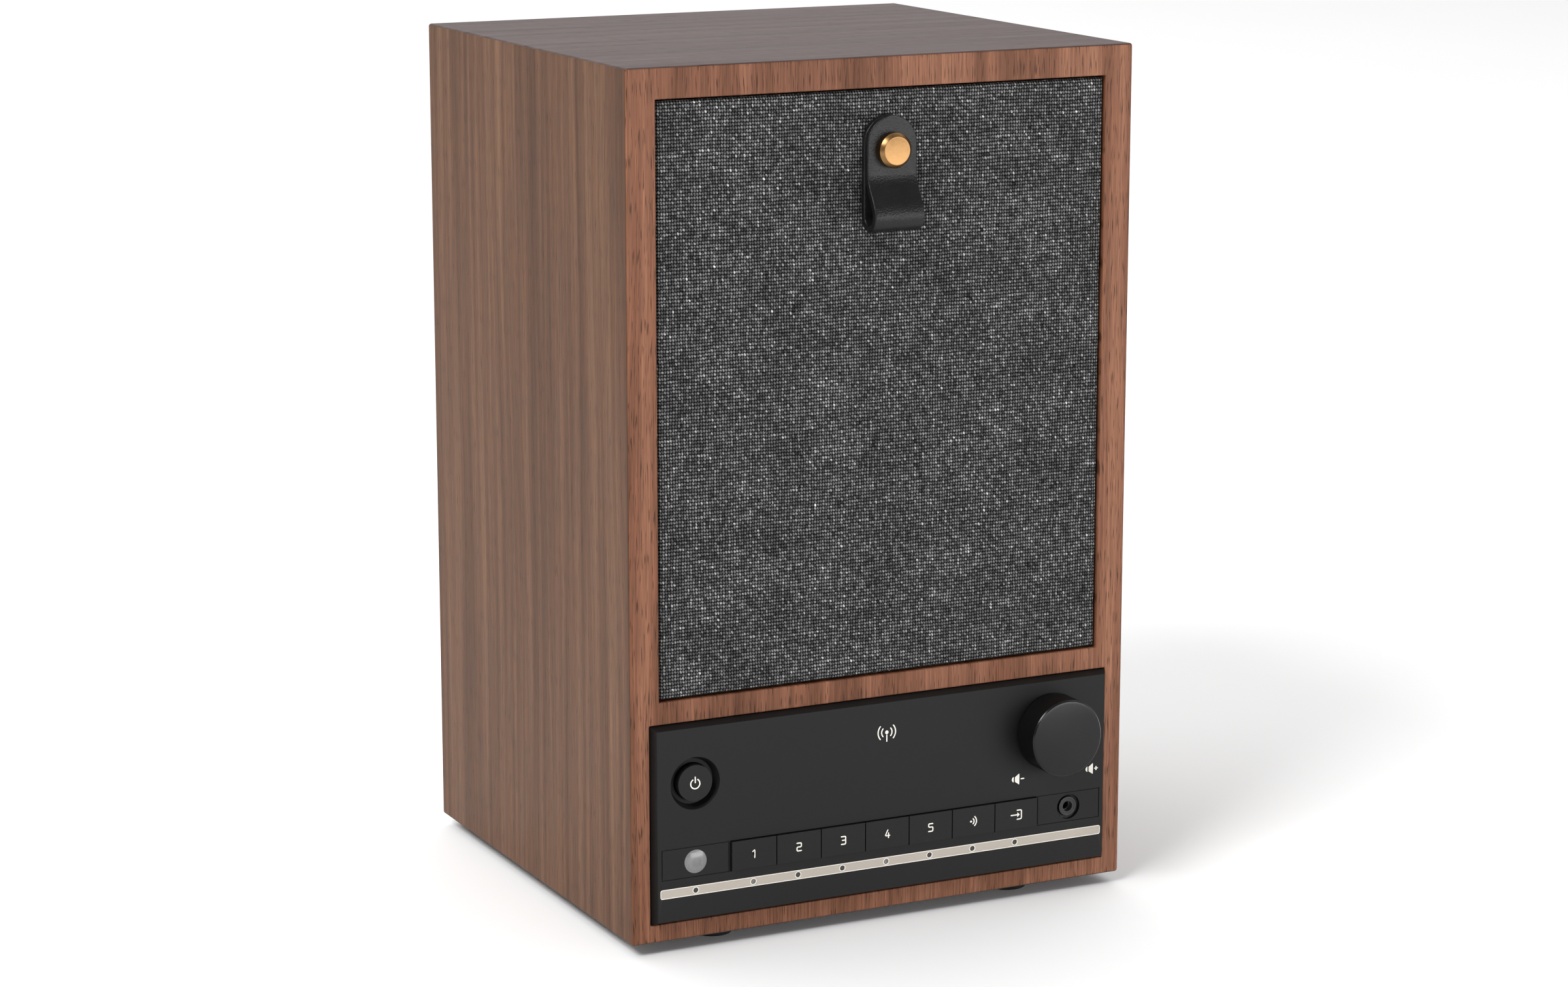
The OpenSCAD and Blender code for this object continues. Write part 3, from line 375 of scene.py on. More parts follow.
def veneer(name, across, along, tones, seed, pore_depth, painted_light_slope=0.0):
    """Walnut veneer. across and along are the axes, 0 to 2, across and along the grain; tones is the
    face's own set, shaded per face as painted light and shade. The figure grows brighter along the
    first axis by the last argument's amount a metre: a painted pool of light towards +X."""
    g = Graph(name, Specular_IOR_Level=0.16)
    axes = g.split(g.place())
    u, v = axes[across], axes[along]
    dark, middle, light = tones
    drift = g.noise(g.join(g.math("MULTIPLY", u, 16.0), g.math("MULTIPLY", v, 3.0), seed), detail=2.0)
    shift = g.math("MULTIPLY", g.math("SUBTRACT", drift, 0.5), 0.012)
    w = g.math("ADD", u, shift)
    bands = g.noise(g.join(g.math("MULTIPLY", w, 150.0), g.math("MULTIPLY", v, 2.4), seed + 3.0),
                    detail=3.0, rough=0.6)
    wide = g.noise(g.join(g.math("MULTIPLY", w, 34.0), g.math("MULTIPLY", v, 1.2), seed + 7.0), detail=1.0)
    figure = g.math("ADD", g.math("MULTIPLY", bands, 0.75), g.math("MULTIPLY", wide, 0.25))
    # Painted light: the figure brightens along the across axis, so the front reads as more brightly lit towards +X.
    figure = g.math("ADD", figure, g.math("MULTIPLY", u, painted_light_slope))
    fine = g.noise(g.join(g.math("MULTIPLY", w, 1350.0), g.math("MULTIPLY", v, 22.0), seed + 11.0),
                   detail=3.0, rough=0.6)
    fibres = g.noise(g.join(g.math("MULTIPLY", w, 3600.0), g.math("MULTIPLY", v, 60.0), seed + 15.0), detail=2.0)
    pores = g.noise(g.join(g.math("MULTIPLY", w, 2600.0), g.math("MULTIPLY", v, 135.0), seed + 19.0),
                    detail=1.0, rough=0.4)
    base = g.ramp(g.span(figure, 0.33, 0.67), ((0.0, dark), (0.48, middle), (1.0, light)))
    streak = g.span(fine, 0.32, 0.68, 0.74, 1.22)
    base = g.mix(1.0, base, g.join(streak, streak, streak), "MULTIPLY")
    fibre = g.span(fibres, 0.3, 0.7, 0.80, 1.20)
    base = g.mix(1.0, base, g.join(fibre, fibre, fibre), "MULTIPLY")
    pore = g.span(pores, 0.60, 0.69)
    base = g.mix(g.math("MULTIPLY", pore, pore_depth), base, tuple(0.3 * c for c in dark))
    g.colour(base)
    g.roughness(g.span(fine, 0.3, 0.7, 0.42, 0.56))
    relief = g.math("SUBTRACT", g.math("MULTIPLY", fine, 0.4), pore)
    g.bump(relief, 0.35, 0.00012)
    return g.material


def speckled(name, tone, rough, grain=2600.0, depth=0.00003, vary=0.12, **constants):
    """A finish with a fine even grain: moulded plastic, paint, rubber or cast metal."""
    g = Graph(name, **constants)
    place = g.place()
    fine = g.noise(place, grain, 3.0, 0.6)
    broad = g.noise(place, 45.0, 3.0)
    low, high = tuple(c * (1 - vary) for c in tone), tuple(c * (1 + vary) for c in tone)
    g.colour(g.ramp(g.span(broad, 0.3, 0.7), ((0.0, low), (1.0, high))))
    g.roughness(g.span(broad, 0.3, 0.7, rough - 0.04, rough + 0.04))
    g.bump(fine, 0.5, depth)
    return g.material


def brushed(name, tone, rough, axis, vary=0.1):
    """Metal with fine lines along one axis."""
    g = Graph(name, Metallic=1.0)
    axes = list(g.split(g.place()))
    scaled = [g.math("MULTIPLY", a, 260.0 if i == axis else 9000.0) for i, a in enumerate(axes)]
    lines = g.noise(g.join(*scaled), 1.0, 3.0, 0.6)
    low, high = tuple(c * (1 - vary) for c in tone), tuple(min(1.0, c * (1 + vary)) for c in tone)
    g.colour(g.ramp(g.span(lines, 0.3, 0.7), ((0.0, low), (1.0, high))))
    g.roughness(g.span(lines, 0.3, 0.7, rough - 0.05, rough + 0.07))
    g.bump(lines, 0.25, 0.00001)
    return g.material


def cloth_material():
    """Plain weave of marled yarns, drawn on the cloth's own yarn coordinates, with painted shade in the gaps and at
    the yarn edges and painted light on the crests.
    """
    g = Graph("woven_melange", Specular_IOR_Level=0.06)
    uv = g.node("ShaderNodeUVMap", uv_map="weave").outputs[0]
    x, z, _ = g.split(uv)
    column, row = g.math("FLOOR", x), g.math("FLOOR", z)
    fx = g.math("SUBTRACT", g.math("FRACT", x), 0.5)
    fz = g.math("SUBTRACT", g.math("FRACT", z), 0.5)
    odd_column = g.math("MULTIPLY", g.math("COSINE", g.math("MULTIPLY", column, math.pi)), -1.0)
    even_row = g.math("COSINE", g.math("MULTIPLY", row, math.pi))

    def yarn(phase, turn, across):
        """How high a yarn stands here, as it rises over one neighbour and dives under the next."""
        swing = g.math("MULTIPLY", g.math("SUBTRACT", phase, 0.5), math.pi)
        rise = g.math("MULTIPLY", turn, g.math("COSINE", swing))
        side = g.math("MULTIPLY", turn, g.math("SINE", swing))
        off = g.math("ADD", across, g.math("MULTIPLY", side, 0.12))
        off = g.math("DIVIDE", off, 0.46)
        profile = g.math("SUBTRACT", 1.0, g.math("MULTIPLY", off, off))
        profile = g.math("SQRT", g.math("MAXIMUM", profile, 0.0))
        return g.math("ADD", g.math("MULTIPLY", rise, 0.42), g.math("MULTIPLY", profile, 0.58))

    warp, weft = yarn(z, odd_column, fx), yarn(x, even_row, fz)
    over = g.math("GREATER_THAN", warp, weft)
    under = g.math("SUBTRACT", 1.0, over)
    relief = g.math("MAXIMUM", warp, weft)

    def marl(fineness, offset):
        """A tone that changes along each yarn, taken from whichever yarn is on top."""
        one = g.noise(g.join(g.math("MULTIPLY", z, fineness), g.math("MULTIPLY", column, 3.17), offset),
                      1.0, 2.0, 0.65)
        two = g.noise(g.join(g.math("MULTIPLY", x, fineness), g.math("MULTIPLY", row, 3.17), offset + 9.1),
                      1.0, 2.0, 0.65)
        return g.math("ADD", g.math("MULTIPLY", one, over), g.math("MULTIPLY", two, under))

    fleck = g.noise(g.join(g.math("MULTIPLY", x, 3.4), g.math("MULTIPLY", z, 3.4), 1.0), 1.0, 2.0, 0.7)
    cloudy = g.noise(g.join(g.math("MULTIPLY", x, 0.05), g.math("MULTIPLY", z, 0.07), 3.0), 1.0, 3.0, 0.6)
    tone = g.math("ADD", g.math("MULTIPLY", marl(0.32, 0.0), 0.5), g.math("MULTIPLY", marl(1.5, 4.0), 0.35))
    tone = g.math("ADD", tone, g.math("MULTIPLY", fleck, 0.3))
    tone = g.math("ADD", tone, g.math("MULTIPLY", g.math("SUBTRACT", cloudy, 0.5), 0.12))
    shade = g.ramp(g.span(tone, 0.40, 0.78), ((0.0, grey(0.012)), (0.40, grey(0.065)),
                                               (0.68, grey(0.200)), (1.0, grey(0.70))))
    # Painted shade and light: the colour is darkened where the relief is low, in the gaps between yarns and at their
    # edges, and brightened up to 1.42 times on the crests.
    gap = g.span(relief, 0.50, 0.98, 0.0, 1.42)
    g.colour(g.mix(1.0, shade, g.join(gap, gap, gap), "MULTIPLY"))
    g.roughness(g.span(tone, 0.3, 0.7, 0.85, 0.95))
    g.bump(g.math("ADD", relief, g.math("MULTIPLY", fleck, 0.3)), 0.8, 0.0005)
    return g.material


def leather_material():
    g = Graph("black_leather", Specular_IOR_Level=0.3)
    place = g.place()
    grain = g.node("ShaderNodeTexVoronoi", {"Vector": place, "Scale": 2300.0, "Randomness": 1.0},
                   feature="SMOOTH_F1")
    creases = g.noise(place, 1500.0, 4.0, 0.65)
    broad = g.noise(place, 130.0, 3.0)
    pebble = g.math("ADD", g.math("MULTIPLY", grain.outputs["Distance"], 0.7), g.math("MULTIPLY", creases, 0.8))
    g.colour(g.ramp(g.span(broad, 0.3, 0.7), ((0.0, grey(0.004)), (1.0, grey(0.008)))))
    g.roughness(g.span(pebble, 0.3, 1.1, 0.28, 0.44))
    g.bump(pebble, 0.55, 0.00022)
    return g.material


def turned_brass():
    """Brass with the fine rings a lathe leaves, about the stud's own axis."""
    g = Graph("turned_brass", Metallic=1.0)
    place = g.place()
    middle = centre("tab_stud")
    x, _, z = g.split(place)
    dx, dz = g.math("SUBTRACT", x, middle.x), g.math("SUBTRACT", z, middle.z)
    away = g.math("SQRT", g.math("ADD", g.math("MULTIPLY", dx, dx), g.math("MULTIPLY", dz, dz)))
    rings = g.noise(g.join(g.math("MULTIPLY", away, 9000.0), 0.0, 0.0), 1.0, 3.0, 0.6)
    stains = g.noise(place, 900.0, 3.0, 0.6)
    mixed = g.math("ADD", g.math("MULTIPLY", rings, 0.45), g.math("MULTIPLY", stains, 0.55))
    g.colour(g.ramp(g.span(mixed, 0.3, 0.7), ((0.0, (0.20, 0.11, 0.045)), (1.0, (0.30, 0.172, 0.073)))))
    g.roughness(g.span(mixed, 0.3, 0.7, 0.24, 0.38))
    g.bump(rings, 0.3, 0.000012)
    return g.material


def paper_board(name, low, high):
    """Softwood or fibreboard: short fibres with a faint grain along X."""
    g = Graph(name, Roughness=0.75)
    x, y, z = g.split(g.place())
    fibres = g.noise(g.join(g.math("MULTIPLY", x, 420.0), g.math("MULTIPLY", y, 1600.0),
                            g.math("MULTIPLY", z, 1600.0)), 1.0, 4.0, 0.6)
    g.colour(g.ramp(g.span(fibres, 0.3, 0.7), ((0.0, low), (1.0, high))))
    g.bump(fibres, 0.4, 0.00008)
    return g.material


def circuit_material():
    """Green solder mask with the tracks showing through it."""
    g = Graph("circuit_board", Roughness=0.38)
    place = g.place()
    tracks = g.node("ShaderNodeTexVoronoi", {"Vector": place, "Scale": 420.0, "Randomness": 0.75},
                    feature="F1", distance="MANHATTAN")
    lines = g.math("GREATER_THAN", g.math("FRACT", g.math("MULTIPLY", tracks.outputs["Distance"], 5.0)), 0.62)
    g.colour(g.mix(lines, (0.012, 0.075, 0.035), (0.028, 0.15, 0.07)))
    g.bump(lines, 0.3, 0.00005)
    return g.material


def light_pipe_material():
    """Clear pins in front of unlit lamps; the pins under two of the keys pass more light."""
    g = Graph("light_pipe", Roughness=0.25, Specular_IOR_Level=0.6)
    place = g.place()
    x, _, _ = g.split(place)
    first, fourth = centre("key_1").x, centre("key_4").x
    near_first = g.math("LESS_THAN", g.math("ABSOLUTE", g.math("SUBTRACT", x, first)), 0.002)
    near_fourth = g.math("LESS_THAN", g.math("ABSOLUTE", g.math("SUBTRACT", x, fourth)), 0.002)
    clouds = g.noise(place, 1500.0, 2.0)
    dull = g.ramp(g.span(clouds, 0.3, 0.7), ((0.0, grey(0.018)), (1.0, grey(0.05))))
    clear = g.ramp(g.span(clouds, 0.3, 0.7), ((0.0, grey(0.13)), (1.0, grey(0.24))))
    g.colour(g.mix(g.math("ADD", near_first, near_fourth, clamp=True), dull, clear))
    return g.material


def lens_material():
    g = Graph("smoked_lens", Specular_IOR_Level=0.5, Coat_Weight=0.4, Coat_Roughness=0.12)
    place = g.place()
    lo, hi = box("ir_lens")
    middle = (lo + hi) / 2
    x, _, z = g.split(place)
    dx = g.math("SUBTRACT", x, middle.x)
    dz = g.math("SUBTRACT", z, middle.z)
    away = g.math("SQRT", g.math("ADD", g.math("MULTIPLY", dx, dx), g.math("MULTIPLY", dz, dz)))
    clouds = g.noise(place, 420.0, 3.0)
    ring = g.math("ADD", g.math("MULTIPLY", away, 190.0), g.math("MULTIPLY", clouds, 0.35))
    g.colour(g.ramp(ring, ((0.0, grey(0.175)), (0.45, grey(0.155)), (0.62, grey(0.19)), (0.95, grey(0.15)))))
    g.roughness(g.span(clouds, 0.3, 0.7, 0.22, 0.34))
    return g.material


# The three veneers take their per-face tone sets, which are painted shade, from the table above; the front one's
# last argument paints light that brightens it towards +X.
mats = {
    "veneer_front": veneer("veneer_front", 0, 2, WALNUT_SHADED_BY_FACE["front"], 2.0, 0.75, 0.7),
    "veneer_side": veneer("veneer_side", 1, 2, WALNUT_SHADED_BY_FACE["side"], 31.0, 0.42),
    "veneer_top": veneer("veneer_top", 1, 0, WALNUT_SHADED_BY_FACE["top"], 57.0, 0.55),
    "panel_black": speckled("panel_black", grey(0.008), 0.46, 5200.0, 0.000018, 0.05, Specular_IOR_Level=0.2),
    "key_black": speckled("key_black", grey(0.0085), 0.42, 5200.0, 0.000018, 0.05, Specular_IOR_Level=0.2),
    "rear_black": speckled("rear_black", grey(0.018), 0.5, 2200.0, 0.00005, 0.12, Specular_IOR_Level=0.4),
    "knob_black": speckled("knob_black", grey(0.003), 0.24, 4800.0, 0.000012, 0.05, Specular_IOR_Level=0.33),
    "knob_side": speckled("knob_side", grey(0.004), 0.5, 4800.0, 0.000012, 0.05, Specular_IOR_Level=0.12),
    "print_white": speckled("print_white", (0.80, 0.77, 0.71), 0.6, 3000.0, 0.00001, 0.03),
    "trim_beige": speckled("trim_beige", (0.42, 0.375, 0.32), 0.42, 2600.0, 0.00001, 0.025),
    "mdf": paper_board("painted_board", grey(0.008), grey(0.017)),
    "softwood": paper_board("softwood", (0.42, 0.26, 0.13), (0.62, 0.43, 0.25)),
    "rubber": speckled("rubber", grey(0.012), 0.8, 1800.0, 0.00006, 0.15, Specular_IOR_Level=0.3),
    "dark_steel": speckled("black_steel", grey(0.03), 0.4, 1500.0, 0.00004, 0.2, Metallic=0.6),
    "steel": brushed("zinc_steel", (0.62, 0.62, 0.60), 0.32, 0),
    "chrome": brushed("chrome", (0.86, 0.87, 0.88), 0.1, 2, 0.02),
    "brass": turned_brass(),
    "aluminium": brushed("aluminium", (0.78, 0.79, 0.80), 0.28, 1),
    "coil_copper": brushed("copper_winding", (0.75, 0.36, 0.2), 0.35, 1, 0.2),
    "ferrite": speckled("ferrite", grey(0.035), 0.6, 900.0, 0.0001, 0.25),
    "cone_paper": speckled("pulp_cone", grey(0.014), 0.85, 1200.0, 0.0002, 0.3, Specular_IOR_Level=0.2),
    "nylon": speckled("nylon", (0.72, 0.71, 0.67), 0.45, 1500.0, 0.00003, 0.06),
    "circuit": circuit_material(),
    "clear_plastic": light_pipe_material(),
    "smoked_lens": lens_material(),
    "fabric": cloth_material(),
    "leather": leather_material(),
}
mats["veneer"] = mats["veneer_side"]

FINISH = {
    "ir_lens": "smoked_lens", "power_button": "key_black", "terminal_plate": "rear_black",
    "mains_inlet": "rear_black", "antenna_base": "rear_black", "antenna_yoke": "rear_black",
    "bass_port": "rear_black", "tweeter_dome": "cone_paper", "grille_frame": "rear_black",
    "audio_jacks": "rear_black",
}
for name, obj in nodes.items():
    slot = obj.data.materials[0].name.split(".")[0]
    finish = "key_black" if name.startswith("key_") else FINISH.get(name, slot)
    obj.material_slots[0].link = "OBJECT"
    obj.material_slots[0].material = mats[finish]


# ---------------------------------------------------------------- cabinet

def cabinet_shell():
    """The veneered box in one skin, its outer corners lightly rounded."""
    front_lo, front_hi = box("front_board")
    rear = box("left_side")[1].y
    wall = 9 * MM
    grille_lo, grille_hi = box("grille_fabric")
    panel_lo, panel_hi = box("control_fascia")
    gap, slit = 0.65 * MM, 0.3 * MM
    gx, px = grille_hi.x + gap, panel_hi.x + slit
    inner = front_hi.x - wall
    xs = [-front_hi.x, -px, -inner, -gx, gx, inner, px, front_hi.x]
    ys = [front_lo.y, front_hi.y, rear]
    zs = [front_lo.z, panel_lo.z - slit, front_lo.z + wall, panel_hi.z + slit,
          grille_lo.z - gap, grille_hi.z + gap, front_hi.z - wall, front_hi.z]
    zs = sorted(zs)

    def solid(i, j, k):
        x, z = (xs[i] + xs[i + 1]) / 2, (zs[k] + zs[k + 1]) / 2
        if j == 0:
            in_grille = abs(x) < gx and grille_lo.z - gap < z < grille_hi.z + gap
            in_panel = abs(x) < px and panel_lo.z - slit < z < panel_hi.z + slit
            return not (in_grille or in_panel)
        return abs(x) > inner or not front_lo.z + wall < z < front_hi.z - wall

    bm = cells(xs, ys, zs, solid)
    bmesh.ops.recalc_face_normals(bm, faces=bm.faces)
    for face in bm.faces:
        n = face.normal
        face.material_index = 1 if abs(n.x) > 0.7 else 2 if abs(n.z) > 0.7 else 0
        middle = face.calc_center_median()
        if middle.y < front_hi.y + 1e-5 and abs(middle.x) < front_hi.x - 1e-5 and front_lo.z < middle.z < front_hi.z:
            face.material_index = 0
        if middle.y > front_hi.y and abs(middle.x) < front_hi.x - 1e-5 and front_lo.z + 1e-5 < middle.z < front_hi.z - 1e-5:
            face.material_index = 3
    bmesh.ops.dissolve_limit(bm, angle_limit=math.radians(1), verts=bm.verts, edges=bm.edges, delimit={"MATERIAL"})
    weight = bm.edges.layers.float.new("bevel_weight_edge")
    for edge in bm.edges:
        if len(edge.link_faces) != 2 or edge.calc_face_angle(0) < math.radians(30):
            continue
        points = [v.co for v in edge.verts]
        middle = (points[0] + points[1]) / 2
        outside = sum((abs(abs(middle.x) - front_hi.x) < 1e-5,
                       min(abs(middle.z - front_lo.z), abs(middle.z - front_hi.z)) < 1e-5,
                       min(abs(middle.y - front_lo.y), abs(middle.y - rear)) < 1e-5))
        edge[weight] = 1.0 if outside >= 2 else 0.4
    obj = from_bmesh("cabinet_shell", bm, [mats["veneer_front"], mats["veneer_side"], mats["veneer_top"],
                                           mats["mdf"]], smooth=True)
    bevel = obj.modifiers.new("corners", "BEVEL")
    bevel.width = 0.9 * MM
    bevel.segments = 3
    bevel.limit_method = "WEIGHT"
    bevel.harden_normals = True
    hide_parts("left_side", "right_side", "top_board", "bottom_board", "front_board")
    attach(obj, "cabinet")


# ---------------------------------------------------------------- grille

WARP_PITCH = 0.95 * MM
WEFT_PITCH = 1.10 * MM


def wrap(s, half, radius, depth):
    """Where a point s along the cloth from its middle lies: (across, back, turn)."""
    flat = half - radius
    over = np.abs(s) - flat
    turn = np.clip(over / radius, 0, math.pi / 2)
    across = np.minimum(np.abs(s), flat) + radius * np.sin(turn)
    back = radius * (1 - np.cos(turn)) + np.maximum(over - radius * math.pi / 2, 0)
    return np.sign(s) * across, np.minimum(back, depth), turn * np.sign(s)


def waves(x, z, seed, count, low, high):
    """A smooth wandering value between about -1 and 1."""
    draw = random.Random(seed)
    total = np.zeros(np.broadcast(x, z).shape)
    for _ in range(count):
        a, length = draw.uniform(0, math.tau), draw.uniform(low, high)
        k = math.tau / length
        total += np.sin(k * (x * math.cos(a) + z * math.sin(a)) + draw.uniform(0, math.tau))
    return total / count ** 0.5 / 1.4


def grille_cloth():
    """Woven cloth stretched round the frame, with a crest at every yarn crossing."""
    lo, hi = box("grille_fabric")
    half_x, half_z, depth = (hi.x - lo.x) / 2, (hi.z - lo.z) / 2, hi.y - lo.y
    radius = 1.1 * MM
    spare = depth - 2 * radius + radius * math.pi / 2
    reach_x, reach_z = half_x + spare, half_z + spare
    nu = 2 * int(reach_x * 2 / WARP_PITCH) + 1
    nv = 2 * int(reach_z * 2 / WEFT_PITCH) + 1
    u = (np.arange(nu) - nu // 2) / 2 * WARP_PITCH
    v = (np.arange(nv) - nv // 2) / 2 * WEFT_PITCH
    x, back_x, turn_x = wrap(u, half_x, radius, depth)
    z, back_z, turn_z = wrap(v, half_z, radius, depth)
    gx, gz = np.meshgrid(x, z)
    by, bz = np.meshgrid(back_x, back_z)
    tx, tz = np.meshgrid(turn_x, turn_z)
    iu, iv = np.meshgrid(np.arange(nu), np.arange(nv))
    draw = np.random.default_rng(11)
    thick_u, thick_v = draw.uniform(0.7, 1.25, nu), draw.uniform(0.7, 1.25, nv)
    crest = (np.cos(math.pi * iu) + np.cos(math.pi * iv)) / 2
    slub = 1 + 0.3 * waves(gx, gz, 5, 24, 0.002, 0.009)
    height = crest * (thick_u[iu // 2] + thick_v[iv // 2]) / 2 * slub * 0.15 * MM
    front = np.cos(tx) * np.cos(tz)
    wobble = 0.14 * MM * front
    px = gx + wobble * waves(gx, gz, 21, 16, 0.006, 0.04) + height * np.sin(tx)
    pz = gz + wobble * waves(gx, gz, 22, 16, 0.006, 0.04) + height * np.sin(tz)
    py = np.maximum(by, bz) - height * front
    inside = 0.02 * MM
    points = np.stack([np.clip(px, -half_x + inside, half_x - inside), py + lo.y + 0.18 * MM,
                       np.clip(pz, -half_z + inside, half_z - inside) + (lo.z + hi.z) / 2], axis=-1)
    mesh = bpy.data.meshes.new("grille_cloth")
    index = np.arange(nu * nv).reshape(nv, nu)
    quads = np.stack([index[:-1, :-1], index[:-1, 1:], index[1:, 1:], index[1:, :-1]], axis=-1).reshape(-1, 4)
    mesh.vertices.add(nu * nv)
    mesh.vertices.foreach_set("co", points.reshape(-1).astype(np.float32))
    mesh.loops.add(quads.size)
    mesh.loops.foreach_set("vertex_index", quads.reshape(-1).astype(np.int32))
    mesh.polygons.add(len(quads))
    mesh.polygons.foreach_set("loop_start", np.arange(0, quads.size, 4, dtype=np.int32))
    mesh.update(calc_edges=True)
    mesh.polygons.foreach_set("use_smooth", np.ones(len(quads), bool))
    yarn = np.stack([iu / 2 + 0.5, iv / 2 + 0.5], axis=-1).reshape(-1, 2)
    layer = mesh.uv_layers.new(name="weave")
    layer.data.foreach_set("uv", yarn[quads.reshape(-1)].reshape(-1).astype(np.float32))
    cloth = new_object("grille_cloth", mesh, [mats["fabric"]])
    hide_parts("grille_fabric")
    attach(cloth, "grille")


def leather_tab():
    """A strap folded into a loop: flat together under the stud, round at the fold."""
    lo, hi = box("leather_tab")
    thick = 2.2 * MM
    half = (hi.x - lo.x) / 2
    back_y, front_y = hi.y, hi.y - 2 * thick
    fold = 5.0 * MM
    fold_y, fold_z = back_y - fold, lo.z + fold
    mid = fold - thick / 2
    stud_z = centre("tab_stud").z
    pinch = stud_z - 6.9 * MM
    path = [(front_y + thick / 2, hi.z)]
    path += [(front_y + thick / 2, hi.z + (pinch - hi.z) * k / 12) for k in range(1, 13)]
    start = Vector(path[-1])
    angle = math.radians(168)
    end = Vector((fold_y + mid * math.cos(angle), fold_z + mid * math.sin(angle)))
    lean = Vector((0, -1))
    for k in range(1, 11):
        t = k / 11
        way = Vector((-math.sin(angle), math.cos(angle)))
        a, b = start + lean * 5 * MM, end - way * 4.5 * MM
        path.append(tuple(start * (1 - t) ** 3 + a * 3 * t * (1 - t) ** 2 + b * 3 * t * t * (1 - t) + end * t ** 3))
    for k in range(0, 17):
        a = angle + (math.radians(360) - angle) * k / 16
        path.append((fold_y + mid * math.cos(a), fold_z + mid * math.sin(a)))
    path += [(back_y - thick / 2, fold_z + (hi.z - fold_z) * k / 20) for k in range(1, 21)]
    points = [Vector(p) for p in path]
    run = [0.0]
    for a, b in zip(points, points[1:]):
        run.append(run[-1] + (b - a).length)
    length = run[-1]

    def at(s):
        s = min(max(s, 0.0), length)
        for k in range(len(run) - 1):
            if s <= run[k + 1]:
                t = (s - run[k]) / max(run[k + 1] - run[k], 1e-9)
                return points[k].lerp(points[k + 1], t), (points[k + 1] - points[k]).normalized()
        return points[-1], (points[-1] - points[-2]).normalized()

    rings = []
    steps = 150
    soft = 0.5 * MM
    stations = [half * (1 - math.cos(math.pi / 2 * k / 14)) for k in range(15)]
    stations += [half + (length - 2 * half) * k / steps for k in range(1, steps)]
    stations += [length - s for s in reversed(stations[:15])]
    for s in stations:
        p, way = at(s)
        normal = Vector((-way.y, way.x))
        from_end = min(s, length - s)
        wide = half if from_end >= half else math.sqrt(max(half ** 2 - (half - from_end) ** 2, 0))
        wide = max(wide, 0.35 * MM)
        inset = min(soft, wide * 0.8)
        profile = []
        rim = thick / 2
        for sx, sn in ((1, 1), (-1, 1), (-1, -1), (1, -1)):
            corner = [(wide - inset + inset * math.sin(a), rim - inset + inset * math.cos(a))
                      for a in (math.pi / 2 * k / 4 for k in range(5))]
            if sx * sn > 0:
                corner.reverse()
            profile += [(sx * c[0], sn * c[1]) for c in corner]
            if sn > 0 and sx > 0:
                profile += [((wide - inset) * f, rim) for f in (0.66, 0.33, 0.0, -0.33, -0.66)]
            if sn < 0 and sx < 0:
                profile += [((wide - inset) * f, -rim) for f in (-0.66, -0.33, 0.0, 0.33, 0.66)]
        rings.append([(px, p.x + normal.x * n, p.y + normal.y * n) for px, n in profile])
    bm = bmesh.new()
    made = [[bm.verts.new(v) for v in ring] for ring in rings]
    count = len(made[0])
    for a, b in zip(made, made[1:]):
        for i in range(count):
            j = (i + 1) % count
            bm.faces.new((a[i], a[j], b[j], b[i]))
    bm.faces.new(made[0])
    bm.faces.new(list(reversed(made[-1])))
    tab = from_bmesh("leather_pull", bm, [mats["leather"]], smooth=True)
    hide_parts("leather_tab")
    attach(tab, "grille")


def stud():
    """The turned brass stud that holds the pull: a flat face and a bevelled rim."""
    lo, hi = box("tab_stud")
    c = centre("tab_stud")
    radius = (hi.x - lo.x) / 2
    head = 3.4 * MM
    bevel = 1.16 * MM
    back = lo.y + head
    profile = [(0, lo.y + 0.05 * MM), (radius - bevel - 0.5 * MM, lo.y + 0.05 * MM), (radius - bevel, lo.y),
               (radius, lo.y + bevel), (radius, back), (1.9 * MM, back), (1.9 * MM, hi.y - 1 * MM),
               (3.5 * MM, hi.y - 1 * MM), (3.5 * MM, hi.y), (0, hi.y)]
    obj = lathe("brass_stud", c.x, c.z, profile, mats["brass"], 128, 0.12 * MM)
    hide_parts("tab_stud")
    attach(obj, "grille")


# ---------------------------------------------------------------- control panel

def volume_knob():
    """A plain deep knob, its face a little domed and its rim finely chamfered."""
    lo, hi = box("volume_knob")
    c = centre("volume_knob")
    radius = (hi.x - lo.x) / 2
    edge = 0.45 * MM
    dome = 0.8 * MM
    face = [(radius * k / 10, lo.y + dome * (k / 10) ** 2) for k in range(10)]
    profile = face + [
               (radius - edge, lo.y + dome * 0.93), (radius, lo.y + dome + edge),
               (radius, hi.y - 0.5 * MM), (radius - 0.4 * MM, hi.y), (radius - 2 * MM, hi.y),
               (radius - 2 * MM, lo.y + 2.6 * MM), (5.5 * MM, lo.y + 2.6 * MM), (5.5 * MM, hi.y - 6 * MM),
               (0, hi.y - 6 * MM)]
    obj = lathe("volume_knob_cap", c.x, c.z, profile, mats["knob_black"], 160, 0.1 * MM)
    obj.data.materials.append(mats["knob_side"])
    for polygon in obj.data.polygons:
        if abs(polygon.normal.y) < 0.5:
            polygon.material_index = 1
    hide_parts("volume_knob")
    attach(obj, "volume_knob")


def prints(name, body, outlines, y, material="print_white"):
    """Flat printed shapes a hair above a surface at depth y, facing the front."""
    bm = bmesh.new()
    for k, outline in enumerate(outlines):
        add_prism(bm, outline, y - (0.03 + 0.004 * k) * MM, y - 0.004 * MM)
    obj = from_bmesh(name, bm, [mats[material]])
    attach(obj, body)
    return obj


